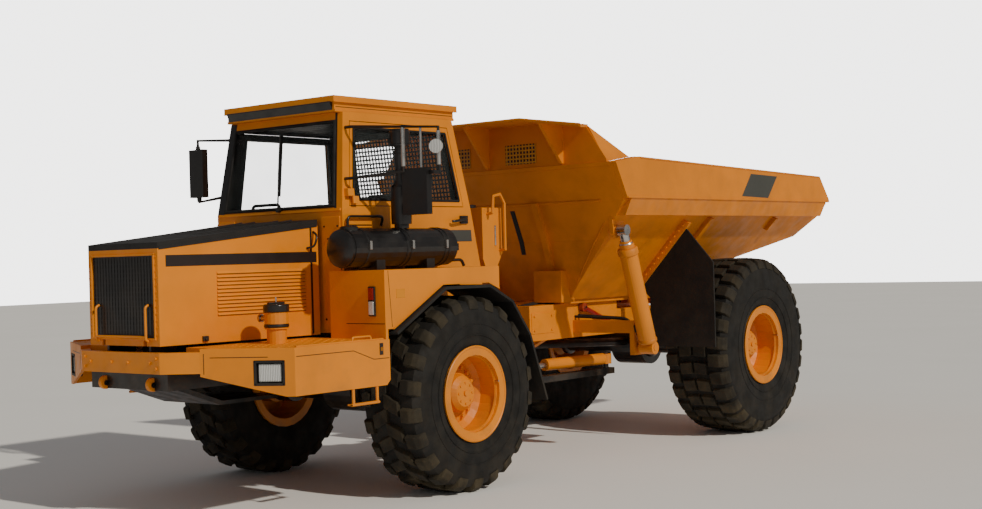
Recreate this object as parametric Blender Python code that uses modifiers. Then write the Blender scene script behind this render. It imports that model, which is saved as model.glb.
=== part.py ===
"""Two-axle articulated dump truck, front left, standing straight with the body down.

Metres, +Z up. The truck faces -Y and its left side is +X. Lengths along the
truck are first stated from the front axle, and fore_aft() moves them so that
the middle of the truck's length is at Y = 0. The ground is Z = 0.
"""

import math

import bmesh
import bpy

# ---- driving dimensions -------------------------------------------------
NOSE = -2.48                # front face of the bumper, from the front axle
TAIL = 6.42                 # rear tip of the dump body, from the front axle
MIDDLE = (NOSE + TAIL) / 2
FIT = 0.0003                # gap between pieces that are fixed together

WHEEL_STEPS = 26
FRONT_TYRE_RADIUS = 0.805
FRONT_TYRE_WIDTH = 0.597
FRONT_HALF_TRACK = 1.125
REAR_TYRE_RADIUS = 0.915
REAR_TYRE_WIDTH = 0.710
REAR_HALF_TRACK = 1.245
REAR_AXLE = 4.58            # from the front axle
FRONT_RIM_RADIUS = 0.388
REAR_RIM_RADIUS = 0.402

PIVOT = 1.45                # articulation pin, from the front axle
ROLL_HEIGHT = 1.02          # height of the oscillation axis
TIP_PIN = 5.10              # body pin, from the front axle
TIP_HEIGHT = 1.36

DECK_HEIGHT = 1.31
DECK_HALF_WIDTH = 1.35
DECK_NOSE = -2.31           # where the deck's slanting front meets the bumper
DECK_CORNER = -1.965        # where it meets the side
SKIRT_BOTTOM = 0.96
FENDER_TOP = 1.84
RAIL_INNER = 0.36           # front frame rails
RAIL_OUTER = 0.46
RAIL_BOTTOM = 1.00
RAIL_TOP = 1.22

HOOD_FRONT = -2.43
HOOD_REAR = -0.88
HOOD_HALF_FRONT = 0.42
HOOD_HALF_REAR = 0.52
HOOD_BOTTOM = 1.33
HOOD_SIDE_FRONT = 2.05      # height of the yellow side at the front
HOOD_SIDE_REAR = 2.21
HOOD_WALL = 0.03

CAB_FRONT = -0.83
CAB_HALF = 0.755
CAB_WALL = 0.05
CAB_FLOOR = 1.44
CAB_SILL = 2.32
CAB_HEADER = 3.13
CAB_TAPER = 0.13            # share of its width lost per metre above the sill
ROOF_TOP = 3.26

BODY_HALF = 1.45
BODY_FLOOR = 1.47
BODY_FLOOR_HALF = 0.58
BODY_RAIL_BOTTOM = 2.43
BODY_RAIL_TOP = 2.82
BODY_WALL = 0.05

# ---- colours ------------------------------------------------------------
YELLOW = (0.73, 0.26, 0.012, 1.0)
BLACK = (0.012, 0.012, 0.013, 1.0)
CHARCOAL = (0.03, 0.031, 0.033, 1.0)
RUBBER = (0.016, 0.015, 0.014, 1.0)
GLASS = (0.25, 0.32, 0.32, 1.0)
STEEL = (0.45, 0.45, 0.46, 1.0)
CLOTH = (0.05, 0.045, 0.045, 1.0)


# ---- scene and materials ------------------------------------------------
for old in list(bpy.data.objects):
    bpy.data.objects.remove(old, do_unlink=True)

truck = bpy.data.collections.new("articulated_dump_truck")
cutters = bpy.data.collections.new("cutters")
bpy.context.scene.collection.children.link(truck)
bpy.context.scene.collection.children.link(cutters)
cutters.hide_render = True


def make_material(name, colour, roughness, metallic=0.0):
    material = bpy.data.materials.new(name)
    material.use_nodes = True
    shader = material.node_tree.nodes["Principled BSDF"]
    shader.inputs["Base Color"].default_value = colour
    shader.inputs["Roughness"].default_value = roughness
    shader.inputs["Metallic"].default_value = metallic
    material.diffuse_color = colour
    return material


PAINTS = {
    "yellow": make_material("body_yellow", YELLOW, 0.42),
    "black": make_material("black_paint", BLACK, 0.5),
    "charcoal": make_material("charcoal_panel", CHARCOAL, 0.55),
    "rubber": make_material("tyre_rubber", RUBBER, 0.85),
    "glass": make_material("window_glass", GLASS, 0.08),
    "steel": make_material("bright_steel", STEEL, 0.3, 1.0),
    "cloth": make_material("seat_cloth", CLOTH, 0.9),
}


# ---- shape helpers ------------------------------------------------------
def fore_aft(y):
    """Length from the front axle to this file's Y."""
    return y - MIDDLE


def mesh_object(name, bm):
    """A closed mesh object from a bmesh, with its faces turned outwards."""
    bmesh.ops.recalc_face_normals(bm, faces=bm.faces)
    if bm.calc_volume(signed=True) < 0:
        bmesh.ops.reverse_faces(bm, faces=bm.faces)
    mesh = bpy.data.meshes.new(name)
    bm.to_mesh(mesh)
    bm.free()
    obj = bpy.data.objects.new(name, mesh)
    cutters.objects.link(obj)
    obj.hide_render = True
    obj.display_type = "WIRE"
    return obj


def box(x0, x1, y0, y1, z0, z1, name="block"):
    """A box between two corners, its Y values stated from the front axle."""
    bm = bmesh.new()
    bmesh.ops.create_cube(bm, size=1.0)
    for v in bm.verts:
        v.co.x = x0 if v.co.x < 0 else x1
        v.co.y = fore_aft(y0 if v.co.y < 0 else y1)
        v.co.z = z0 if v.co.z < 0 else z1
    return mesh_object(name, bm)


def to_axes(along, u, v, w):
    """A point whose outline is (u, v) and whose depth w runs along one axis."""
    if along == "x":
        return (w, fore_aft(u), v)
    if along == "y":
        return (u, fore_aft(w), v)
    return (u, fore_aft(v), w)


def prism(along, outline, low, high, name="prism"):
    """A flat outline pulled along an axis.

    The outline is (y, z) along x, (x, z) along y, and (x, y) along z.
    """
    curve = bpy.data.curves.new(name, "CURVE")
    curve.dimensions = "2D"
    curve.fill_mode = "BOTH"
    curve.extrude = (high - low) / 2
    spline = curve.splines.new("POLY")
    spline.points.add(len(outline) - 1)
    for point, (u, v) in zip(spline.points, outline):
        point.co = (u, v, 0.0, 1.0)
    spline.use_cyclic_u = True
    flat = bpy.data.objects.new(name, curve)
    truck.objects.link(flat)
    graph = bpy.context.evaluated_depsgraph_get()
    mesh = bpy.data.meshes.new_from_object(flat.evaluated_get(graph))
    bpy.data.objects.remove(flat, do_unlink=True)
    bpy.data.curves.remove(curve)
    bm = bmesh.new()
    bm.from_mesh(mesh)
    bpy.data.meshes.remove(mesh)
    bmesh.ops.remove_doubles(bm, verts=bm.verts, dist=0.00001)
    bmesh.ops.dissolve_limit(bm, angle_limit=0.001, verts=bm.verts, edges=bm.edges)
    middle = (low + high) / 2
    for vert in bm.verts:
        u, v, w = vert.co
        vert.co = to_axes(along, u, v, w + middle)
    return mesh_object(name, bm)


def rod(along, u, v, radius, low, high, sides=24, name="rod", tip_radius=None):
    """A round bar along an axis through the point (u, v) of the other two."""
    bm = bmesh.new()
    bmesh.ops.create_cone(
        bm,
        cap_ends=True,
        segments=sides,
        radius1=radius,
        radius2=radius if tip_radius is None else tip_radius,
        depth=high - low,
    )
    middle = (low + high) / 2
    for vert in bm.verts:
        a, b, w = vert.co
        vert.co = to_axes(along, u + a, v + b, w + middle)
    return mesh_object(name, bm)


def tube(points, radius, name="tube", resolution=2):
    """A bent round bar through points whose Y is stated from the front axle."""
    curve = bpy.data.curves.new(name, "CURVE")
    curve.dimensions = "3D"
    curve.bevel_depth = radius
    curve.bevel_resolution = resolution
    curve.use_fill_caps = True
    spline = curve.splines.new("POLY")
    spline.points.add(len(points) - 1)
    for point, (x, y, z) in zip(spline.points, points):
        point.co = (x, fore_aft(y), z, 1.0)
    bent = bpy.data.objects.new(name, curve)
    truck.objects.link(bent)
    graph = bpy.context.evaluated_depsgraph_get()
    mesh = bpy.data.meshes.new_from_object(bent.evaluated_get(graph))
    bpy.data.objects.remove(bent, do_unlink=True)
    bpy.data.curves.remove(curve)
    bm = bmesh.new()
    bm.from_mesh(mesh)
    bpy.data.meshes.remove(mesh)
    bmesh.ops.remove_doubles(bm, verts=bm.verts, dist=0.00001)
    return mesh_object(name, bm)


def slanted(start, end, radius, sides=20, name="slanted"):
    """A round bar from one point to another, Y stated from the front axle."""
    ends = [(start[0], fore_aft(start[1]), start[2]), (end[0], fore_aft(end[1]), end[2])]
    run = [b - a for a, b in zip(*ends)]
    length = math.sqrt(sum(step * step for step in run))
    bm = bmesh.new()
    bmesh.ops.create_cone(
        bm, cap_ends=True, segments=sides, radius1=radius, radius2=radius, depth=length
    )
    obj = mesh_object(name, bm)
    turn = math.atan2(math.hypot(run[0], run[1]), run[2])
    heading = math.atan2(run[1], run[0])
    obj.rotation_euler = (0.0, turn, heading)
    obj.location = [(a + b) / 2 for a, b in zip(*ends)]
    return obj


def turned(outline, name="turned", steps=26):
    """A closed (radius, width) outline turned about X at the origin."""
    mesh = bpy.data.meshes.new(name)
    points = [(radius, 0.0, across) for radius, across in outline]
    count = len(points)
    edges = [(i, (i + 1) % count) for i in range(count)]
    mesh.from_pydata(points, edges, [])
    loop = bpy.data.objects.new(name, mesh)
    truck.objects.link(loop)
    screw = loop.modifiers.new("turn", "SCREW")
    screw.axis = "Z"
    screw.steps = steps
    screw.render_steps = steps
    screw.use_merge_vertices = True
    screw.merge_threshold = 0.0001
    graph = bpy.context.evaluated_depsgraph_get()
    solid = bpy.data.meshes.new_from_object(loop.evaluated_get(graph))
    bpy.data.objects.remove(loop, do_unlink=True)
    bm = bmesh.new()
    bm.from_mesh(solid)
    bpy.data.meshes.remove(solid)
    for vert in bm.verts:
        x, y, z = vert.co
        vert.co = (z, y, -x)
    return mesh_object(name, bm)


def mirrored(obj):
    """A copy of a helper shape on the other side of the truck."""
    bpy.context.view_layer.update()
    bm = bmesh.new()
    bm.from_mesh(obj.data)
    bmesh.ops.transform(bm, matrix=obj.matrix_basis, verts=bm.verts)
    for vert in bm.verts:
        vert.co.x = -vert.co.x
    return mesh_object(obj.name + "_other", bm)


def both(obj):
    return [obj, mirrored(obj)]


def combine(target, others, operation):
    for other in others:
        joint = target.modifiers.new(operation.lower(), "BOOLEAN")
        joint.operation = operation
        joint.object = other
        joint.solver = "EXACT"


def carved(shape, cuts):
    """A helper shape with other shapes taken out of it."""
    combine(shape, cuts, "DIFFERENCE")
    graph = bpy.context.evaluated_depsgraph_get()
    mesh = bpy.data.meshes.new_from_object(shape.evaluated_get(graph))
    matrix = shape.evaluated_get(graph).matrix_world.copy()
    bm = bmesh.new()
    bm.from_mesh(mesh)
    bpy.data.meshes.remove(mesh)
    bmesh.ops.transform(bm, matrix=matrix, verts=bm.verts)
    for used in [shape] + list(cuts):
        bpy.data.objects.remove(used, do_unlink=True)
    return mesh_object("carved", bm)


def node(name, paint, shapes, cuts=(), origin=(0.0, 0.0, 0.0), shape_after=None):
    """One finished piece: shapes joined, then cuts taken out.

    The origin is a point on the piece's joint, Y stated from the front axle.
    """
    base = shapes[0]
    combine(base, shapes[1:], "UNION")
    combine(base, cuts, "DIFFERENCE")
    graph = bpy.context.evaluated_depsgraph_get()
    mesh = bpy.data.meshes.new_from_object(base.evaluated_get(graph))
    matrix = base.evaluated_get(graph).matrix_world.copy()
    bm = bmesh.new()
    bm.from_mesh(mesh)
    bpy.data.meshes.remove(mesh)
    bmesh.ops.transform(bm, matrix=matrix, verts=bm.verts)
    bmesh.ops.dissolve_limit(bm, angle_limit=0.0008, verts=bm.verts, edges=bm.edges)
    if shape_after:
        for vert in bm.verts:
            vert.co = shape_after(*vert.co)
    place = (origin[0], fore_aft(origin[1]), origin[2])
    for vert in bm.verts:
        vert.co.x -= place[0]
        vert.co.y -= place[1]
        vert.co.z -= place[2]
    bmesh.ops.triangulate(bm, faces=bm.faces)
    finished = bpy.data.meshes.new(name)
    bm.to_mesh(finished)
    bm.free()
    finished.shade_smooth()
    finished.set_sharp_from_angle(angle=math.radians(35))
    finished.materials.append(PAINTS[paint])
    piece = bpy.data.objects.new(name, finished)
    piece.location = place
    truck.objects.link(piece)
    for used in list(shapes) + list(cuts):
        bpy.data.objects.remove(used, do_unlink=True)
    return piece


def mirror_node(piece, name):
    """The same piece on the right side, with its own origin."""
    bm = bmesh.new()
    bm.from_mesh(piece.data)
    for vert in bm.verts:
        vert.co.x = -vert.co.x
    bmesh.ops.reverse_faces(bm, faces=bm.faces)
    mesh = bpy.data.meshes.new(name)
    bm.to_mesh(mesh)
    bm.free()
    mesh.shade_smooth()
    mesh.set_sharp_from_angle(angle=math.radians(35))
    mesh.materials.append(piece.data.materials[0])
    other = bpy.data.objects.new(name, mesh)
    x, y, z = piece.location
    other.location = (-x, y, z)
    truck.objects.link(other)
    return other


def two_sides(name, paint, shapes, cuts=(), origin=(0.0, 0.0, 0.0), shape_after=None):
    left = node(name + "_left", paint, shapes, cuts, origin, shape_after)
    mirror_node(left, name + "_right")


# ---- wheels -------------------------------------------------------------
def tyre_outline(radius, width, rim):
    """Half-rounded shoulders, straight tread, and walls down to the beads."""
    half = width / 2
    seat = rim - 0.050
    return [
        (seat + FIT, -half * 0.86),
        (rim + 0.010, -half * 0.86),
        (rim + 0.040, -half * 0.95),
        (rim + 0.16, -half),
        (radius - 0.13, -half * 0.985),
        (radius - 0.035, -half * 0.91),
        (radius, -half * 0.80),
        (radius, half * 0.80),
        (radius - 0.035, half * 0.91),
        (radius - 0.13, half * 0.985),
        (rim + 0.16, half),
        (rim + 0.040, half * 0.95),
        (rim + 0.010, half * 0.86),
        (seat + FIT, half * 0.86),
        (seat + FIT, half * 0.70),
        (rim + 0.10, half * 0.86),
        (radius - 0.12, half * 0.84),
        (radius - 0.12, -half * 0.84),
        (rim + 0.10, -half * 0.86),
        (seat + FIT, -half * 0.70),
    ]


def rim_loop(width, rim, hub_out, hub_in):
    """The whole section of a rim: outer face, flanges, barrel and inner face."""
    half = width / 2
    seat = rim - 0.050
    bead = half * 0.86 + FIT
    disc = half * 0.12
    thin = 0.022
    return [
        (0.010, hub_out),
        (0.110, hub_out),
        (0.145, hub_out - 0.035),
        (0.160, disc + 0.030),
        (seat - 0.075, disc),
        (seat - thin - 0.008, disc + 0.045),
        (seat - thin, bead + 0.020),
        (rim, bead + 0.026),
        (rim, bead + 0.002),
        (seat, bead),
        (seat, -bead),
        (rim, -bead - 0.002),
        (rim, -bead - 0.026),
        (seat - thin, -bead - 0.020),
        (seat - thin, disc - 0.020),
        (seat - 0.080, disc - 0.030),
        (0.165, disc - 0.030),
        (0.165, hub_in),
        (0.010, hub_in),
    ]


def add_wheel(name, x, y, radius, width, rim, hub_reach, axle_end):
    """A tyre and its rim, turned about the hub, on the left and the right."""
    for side, sign in (("left", 1.0), ("right", -1.0)):
        outline = tyre_outline(radius, width, rim)
        tyre = turned(outline, steps=WHEEL_STEPS)
        loop = rim_loop(width, rim, hub_reach, axle_end - x)
        wheel = turned([(r, a * sign) for r, a in loop], steps=WHEEL_STEPS)
        centre = (x * sign, y, radius)
        for helper in (tyre, wheel):
            helper.location = (centre[0], fore_aft(y), radius)
        bpy.context.view_layer.update()
        node(f"tyre_{name}_{side}", "rubber", [tyre], origin=centre)
        plug_lo = min(hub_reach * sign, (axle_end - x) * sign) + centre[0]
        plug_hi = max(hub_reach * sign, (axle_end - x) * sign) + centre[0]
        plug = rod("x", y, radius, 0.05, plug_lo, plug_hi, 18)
        node(f"rim_{name}_{side}", "yellow", [wheel, plug], origin=centre)


add_wheel(
    "front", FRONT_HALF_TRACK, 0.0, FRONT_TYRE_RADIUS, FRONT_TYRE_WIDTH,
    FRONT_RIM_RADIUS, 0.17, 0.9500,
)
add_wheel(
    "rear", REAR_HALF_TRACK, REAR_AXLE, REAR_TYRE_RADIUS, REAR_TYRE_WIDTH,
    REAR_RIM_RADIUS, 0.19, 1.0400,
)


# ---- front frame, axle and hitch ----------------------------------------
PIN_LOW = 0.78
PIN_HIGH = 1.27
LUG_X = 0.40                # steering cylinder eye, beside the pin
LUG_Y = 1.35
CLEVIS_LOW = (0.80, 0.88)
CLEVIS_HIGH = (1.17, 1.24)
HINGE_Y = -2.375            # hood hinge
HINGE_Z = 1.360
ARM_REACH = DECK_HALF_WIDTH - 0.10   # arms under the deck


def clevis_plate(z0, z1):
    """A plate that narrows to a rounded end round the articulation pin."""
    nose = 0.125
    arc = [
        (nose * math.cos(math.radians(a)), PIVOT + nose * math.sin(math.radians(a)))
        for a in range(-20, 201, 20)
    ]
    outline = [(-0.42, 1.10), (0.42, 1.10), (0.42, 1.20), (0.20, 1.37)]
    return prism("z", outline + arc + [(-0.20, 1.37), (-0.42, 1.20)], z0, z1)


frame_shapes = [
    box(-0.46, 0.46, 0.72, 1.20, 0.80, 1.30),
    clevis_plate(*CLEVIS_LOW),
    clevis_plate(*CLEVIS_HIGH),
    box(-0.46, 0.46, -2.3997, -2.12, 1.00, 1.25),
    box(-0.40, 0.40, -0.98, -0.86, 1.02, 1.18),
]
frame_shapes += both(box(RAIL_INNER, RAIL_OUTER, -2.20, 0.80, RAIL_BOTTOM, RAIL_TOP))
frame_shapes += both(box(0.44, ARM_REACH, DECK_CORNER + 0.06, DECK_CORNER + 0.14, 1.14, 1.2597))
frame_shapes += both(box(0.44, ARM_REACH, -1.14, -1.06, 1.14, 1.2597))
frame_shapes += both(box(0.44, 0.68, -0.09, 0.09, 1.06, 1.20))
frame_shapes += both(box(0.37, 0.45, -0.78, -0.70, 1.20, 1.3397))
frame_shapes += both(box(0.37, 0.45, 0.74, 0.84, 1.28, 1.3397))
frame_shapes += both(box(0.24, 0.265, -2.39, -2.14, 1.20, 1.385))
frame_shapes += both(rod("x", HINGE_Y, HINGE_Z, 0.012, 0.245, 0.310, 12))
frame_shapes += both(box(0.28, 0.50, 1.12, 1.42, 0.93, 0.97))
frame_shapes += [box(0.36, 0.46, 1.03, 1.10, 1.28, 1.7397)]
frame_shapes += [
    prism(
        "x",
        [(-2.39, 1.08), (-2.39, 1.05), (-1.80, 0.84), (-1.20, 0.84), (-1.20, 0.87),
         (-1.78, 0.87), (-2.14, 1.00), (-2.14, 1.08)],
        -0.34,
        0.34,
    )
]
frame_cuts = [
    rod("z", 0.0, PIVOT, 0.0512, 0.70, 1.40, 20),
]
node("front_frame", "black", frame_shapes, frame_cuts)

node(
    "front_bumper",
    "yellow",
    [
        prism(
            "z",
            [
                (-0.47, NOSE), (0.47, NOSE), (0.72, -2.31), (0.72, -2.22), (0.46, -2.40),
                (-0.46, -2.40), (-0.72, -2.22), (-0.72, -2.31),
            ],
            1.13,
            1.285,
        )
    ],
)


# ---- front axle and its struts ------------------------------------------
axle_height = FRONT_TYRE_RADIUS
node(
    "front_axle",
    "black",
    [
        rod("x", 0.0, axle_height, 0.115, -0.80, 0.80, 20),
        rod("x", 0.0, axle_height, 0.200, -0.17, 0.17, 24),
        *both(rod("x", 0.0, axle_height, 0.150, 0.70, 0.9497 - 0.06, 24)),
        *both(rod("x", 0.0, axle_height, 0.090, 0.85, 0.9497, 20)),
        *both(box(0.50, 0.62, -0.08, 0.08, axle_height + 0.05, axle_height + 0.16)),
        *both(rod("z", 0.56, 0.0, 0.052, axle_height + 0.12, 1.0597, 18)),
    ],
)

# ---- deck, steps and fenders --------------------------------------------
deck_outline = [
    (0.72 + FIT, DECK_NOSE), (DECK_HALF_WIDTH, DECK_CORNER), (DECK_HALF_WIDTH, -0.96),
    (0.4603, -0.96), (0.4603, -2.2197), (0.72 + FIT, -2.2197),
]
skirt = 0.03
STEP_MIDDLE = DECK_HALF_WIDTH - skirt / 2
skirt_front = [
    (0.72 + FIT, DECK_NOSE), (DECK_HALF_WIDTH, DECK_CORNER),
    (DECK_HALF_WIDTH, DECK_CORNER + skirt), (0.72 + FIT, DECK_NOSE + skirt),
]
two_sides(
    "deck",
    "yellow",
    [
        prism("z", deck_outline, 1.26, DECK_HEIGHT),
        box(DECK_HALF_WIDTH - skirt, DECK_HALF_WIDTH, DECK_CORNER, -0.96, SKIRT_BOTTOM, 1.30),
        prism("z", skirt_front, SKIRT_BOTTOM, 1.30),
        rod("z", STEP_MIDDLE, -1.36, 0.012, 0.84, 1.00, 10),
        rod("z", STEP_MIDDLE, -1.10, 0.012, 0.84, 1.00, 10),
        rod("y", STEP_MIDDLE, 0.84, 0.012, -1.38, -1.08, 10),
    ],
    [
        prism("y", [(0.60, 1.14), (0.60, 0.80), (1.345, 0.80), (1.30, 0.957)], -2.5, -1.9),
        box(1.08, 1.28, -2.50, -1.90, 1.04, 1.22),
        prism("x", [(-1.06, 0.90), (-0.90, 0.90), (-0.90, 1.06)], 1.20, 1.70),
    ],
)
FENDER_IN = 0.7603
FENDER_FRONT = -1.00
FENDER_REAR = 0.42
fender_side = [
    (FENDER_FRONT, FENDER_TOP), (FENDER_FRONT, 1.385), (-0.906, 1.385), (-0.31, 1.71),
    (0.27, 1.71), (FENDER_REAR, 1.65), (FENDER_REAR, FENDER_TOP),
]
two_sides(
    "fender",
    "yellow",
    [
        box(FENDER_IN, DECK_HALF_WIDTH, FENDER_FRONT, FENDER_REAR, 1.81, FENDER_TOP),
        prism("x", fender_side, DECK_HALF_WIDTH - 0.03, DECK_HALF_WIDTH),
        prism("x", fender_side, FENDER_IN, FENDER_IN + 0.03),
        box(0.93, DECK_HALF_WIDTH, FENDER_FRONT, FENDER_FRONT + 0.03, 1.3103, FENDER_TOP),
        box(FENDER_IN, 0.94, FENDER_FRONT, FENDER_FRONT + 0.03, 1.3103, FENDER_TOP),
    ],
)
liner = [
    (-0.90, 1.34), (-0.31, 1.665), (0.25, 1.665), (0.54, 1.53), (0.77, 1.24), (0.99, 0.66),
    (1.01, 0.67), (0.79, 1.25), (0.555, 1.545), (0.255, 1.6897), (-0.315, 1.6897),
    (-0.915, 1.36),
]
two_sides(
    "mudguard",
    "rubber",
    [
        prism("x", liner, 0.86, 1.39),
        box(1.00, 1.10, -0.25, 0.20, 1.68, 1.8097),
    ],
)

# ---- hood ---------------------------------------------------------------
def hood_half(y):
    share = (y - HOOD_FRONT) / (HOOD_REAR - HOOD_FRONT)
    return HOOD_HALF_FRONT + (HOOD_HALF_REAR - HOOD_HALF_FRONT) * share


def hood_plan(inset, extra=0.0):
    front = HOOD_FRONT + inset
    rear = HOOD_REAR + extra
    return [
        (-hood_half(front) + inset, front), (hood_half(front) - inset, front),
        (hood_half(rear) - inset, rear), (-hood_half(rear) + inset, rear),
    ]


above_sides = [
    (HOOD_FRONT - 0.1, HOOD_SIDE_FRONT - 0.0103), (HOOD_REAR + 0.1, HOOD_SIDE_REAR + 0.0103),
    (HOOD_REAR + 0.1, 2.6), (HOOD_FRONT - 0.1, 2.6),
]
hinge = (0.0, HINGE_Y, HINGE_Z)
hood_sides = carved(
    prism("z", hood_plan(0.0), HOOD_BOTTOM, 2.40),
    [
        prism("z", hood_plan(HOOD_WALL, 0.1), 1.20, 2.50),
        box(-0.37, 0.37, -2.60, -2.39, 1.39, 2.00),
        prism("x", above_sides, -0.8, 0.8),
    ],
)
node(
    "hood",
    "yellow",
    [hood_sides, *both(box(0.2703, 0.300, -2.41, -2.35, 1.335, 1.385))],
    [
        rod("x", HINGE_Y, HINGE_Z, 0.0126, -0.32, 0.32, 12),
        *both(box(0.232, 0.2697, -2.50, -2.30, 1.30, 1.375)),
    ],
    origin=hinge,
)
below_top = [
    (HOOD_FRONT - 0.1, HOOD_SIDE_FRONT - 0.0100), (HOOD_REAR + 0.1, HOOD_SIDE_REAR + 0.0106),
    (HOOD_REAR + 0.1, 1.5), (HOOD_FRONT - 0.1, 1.5),
]
over_top = [
    (HOOD_FRONT - 0.1, 2.085), (HOOD_REAR + 0.1, 2.270), (HOOD_REAR + 0.1, 2.7),
    (HOOD_FRONT - 0.1, 2.7),
]
top_hollow = carved(
    prism("z", hood_plan(HOOD_WALL, 0.1), 1.60, 2.50),
    [prism("x", [(-2.6, 2.042), (-0.6, 2.235), (-0.6, 2.9), (-2.6, 2.9)], -0.8, 0.8)],
)
node(
    "hood_top",
    "charcoal",
    [prism("z", hood_plan(0.0), 1.90, 2.50)],
    [prism("x", below_top, -0.8, 0.8), prism("x", over_top, -0.8, 0.8), top_hollow],
    origin=hinge,
)
node(
    "grille",
    "black",
    [box(-0.3697, 0.3697, -2.424, -2.402, 1.3903, 1.9997)],
    origin=hinge,
)
node(
    "engine_block",
    "charcoal",
    [
        box(-0.30, 0.30, -2.02, -0.98, 1.24, 1.92),
        *both(box(0.25, 0.44, -1.80, -1.60, 1.2203, 1.30)),
    ],
)

# ---- cab ----------------------------------------------------------------
def taper(x, y, z):
    """Draws the cab's width in above the sill."""
    share = 1.0 - CAB_TAPER * max(0.0, z - CAB_SILL)
    return (x * share, y, z)


def cab_outline(inset):
    """The cab's side view, front to back, with each edge moved in."""
    i = inset
    return [
        (CAB_FRONT + i, 1.34 + i), (CAB_FRONT + i, CAB_SILL),
        (-0.71 + i, CAB_HEADER - i), (0.66 - i, CAB_HEADER - i),
        (0.80 - i, CAB_SILL), (0.93 - i, 1.76), (0.93 - i, 1.34 + i),
    ]


def side_opening(grow):
    """Outline of the cab's upper side opening."""
    g = grow
    return [
        (-0.74 - g, 2.36 - g), (-0.645 - g, 3.06 + g), (0.585 + g, 3.06 + g),
        (0.70 + g, 2.36 - g),
    ]


def door_opening(grow):
    """Outline of the right doorway, from just over the fender to the header."""
    g = grow
    return [
        (-0.66 - g, 1.88 - g), (-0.66 - g, 2.36), (-0.60 - g, 3.06 + g), (0.50 + g, 3.06 + g),
        (0.60 + g, 2.36), (0.60 + g, 1.88 - g),
    ]


DOOR_GAP = 0.006
LEFT_HINGE = (0.775, -0.715, 2.40)
RIGHT_HINGE = (-0.775, -0.635, 2.00)
KNUCKLE = 0.06              # height of each hinge knuckle


def hinge_halves(hinge, low):
    """A door's lower knuckle and the cab's upper one, end to end on the hinge axis."""
    side = math.copysign(1.0, hinge[0])
    axis = abs(hinge[0]) / (1.0 - CAB_TAPER * max(0.0, low + KNUCKLE - CAB_SILL))
    y = hinge[1]
    split = low + KNUCKLE
    top = split + FIT + KNUCKLE
    reach = [(side * (CAB_HALF - 0.015), 0.0), (side * (axis + 0.012), 0.0)]
    x0, x1 = sorted(x for x, _ in reach)
    outer0, outer1 = sorted((side * (axis - 0.010), side * (axis + 0.012)))
    door_half = [
        rod("z", side * axis, y, 0.012, low, split, 12),
        box(x0, x1, y + 0.010, y + 0.050, low, split),
        box(outer0, outer1, y, y + 0.030, low, split),
    ]
    cab_half = [
        rod("z", side * axis, y, 0.012, split + FIT, top, 12),
        box(outer0, outer1, y - 0.060, y, split + FIT, top),
        box(x0, x1, y - 0.070, y - 0.030, split + FIT, top),
    ]
    return door_half, cab_half


left_knuckles = [hinge_halves(LEFT_HINGE, 2.38)]
right_knuckles = [hinge_halves(RIGHT_HINGE, low) for low in (1.90, 2.18)]
cab_knuckles = [shape for _, cab_half in left_knuckles + right_knuckles for shape in cab_half]
cab = carved(
    prism("x", cab_outline(0.0), -CAB_HALF, CAB_HALF),
    [
        prism("x", cab_outline(CAB_WALL), -CAB_HALF + CAB_WALL, CAB_HALF - CAB_WALL),
        box(-0.66, 0.66, -1.0, -0.5, 2.37, 3.05),
        box(-0.60, 0.60, 0.50, 1.0, 2.40, 3.03),
        prism("x", side_opening(0.0), 0.60, 0.90),
        prism("x", door_opening(0.0), -0.90, -0.60),
    ],
)
node("cab_shell", "yellow", [cab, *cab_knuckles], shape_after=taper)
window = [(-0.68, 2.42), (-0.60, 3.00), (0.54, 3.00), (0.64, 2.42)]
node(
    "door_left",
    "yellow",
    [
        prism("x", side_opening(-DOOR_GAP), CAB_HALF - 0.045, CAB_HALF),
        *(shape for door_half, _ in left_knuckles for shape in door_half),
    ],
    [prism("x", window, 0.5, CAB_HALF + 0.002)],
    origin=LEFT_HINGE,
    shape_after=taper,
)
node(
    "door_left_glass",
    "glass",
    [
        prism(
            "x",
            [(-0.6797, 2.4203), (-0.5997, 2.9997), (0.5397, 2.9997), (0.6397, 2.4203)],
            CAB_HALF - 0.030,
            CAB_HALF - 0.022,
        )
    ],
    origin=LEFT_HINGE,
    shape_after=taper,
)
door_window = [(-0.60, 2.36), (-0.55, 3.00), (0.45, 3.00), (0.54, 2.36), (0.54, 1.98), (-0.60, 1.98)]
glass_edge = [
    (-0.5997, 2.36), (-0.5497, 2.9997), (0.4497, 2.9997), (0.5397, 2.36), (0.5397, 1.9803),
    (-0.5997, 1.9803),
]
node(
    "door_right",
    "yellow",
    [
        prism("x", door_opening(-DOOR_GAP), -CAB_HALF, -CAB_HALF + 0.045),
        *(shape for door_half, _ in right_knuckles for shape in door_half),
    ],
    [prism("x", door_window, -CAB_HALF - 0.002, -0.5)],
    origin=RIGHT_HINGE,
    shape_after=taper,
)
node(
    "door_right_glass",
    "glass",
    [prism("x", glass_edge, -CAB_HALF + 0.022, -CAB_HALF + 0.030)],
    origin=RIGHT_HINGE,
    shape_after=taper,
)
front_slope = (-0.71 - CAB_FRONT) / (CAB_HEADER - CAB_SILL)


def on_front(z, back):
    """Fore-and-aft place of the sloping front wall at a height."""
    return CAB_FRONT + back + front_slope * (z - CAB_SILL)


node(
    "windscreen",
    "glass",
    [
        prism(
            "x",
            [
                (on_front(2.3703, 0.020), 2.3703), (on_front(3.0497, 0.020), 3.0497),
                (on_front(3.0497, 0.028), 3.0497), (on_front(2.3703, 0.028), 2.3703),
            ],
            -0.6597,
            0.6597,
        )
    ],
    shape_after=taper,
)


def on_rear(z, ahead):
    return 0.80 - ahead - (0.80 - 0.66) * (z - CAB_SILL) / (CAB_HEADER - CAB_SILL)


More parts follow.
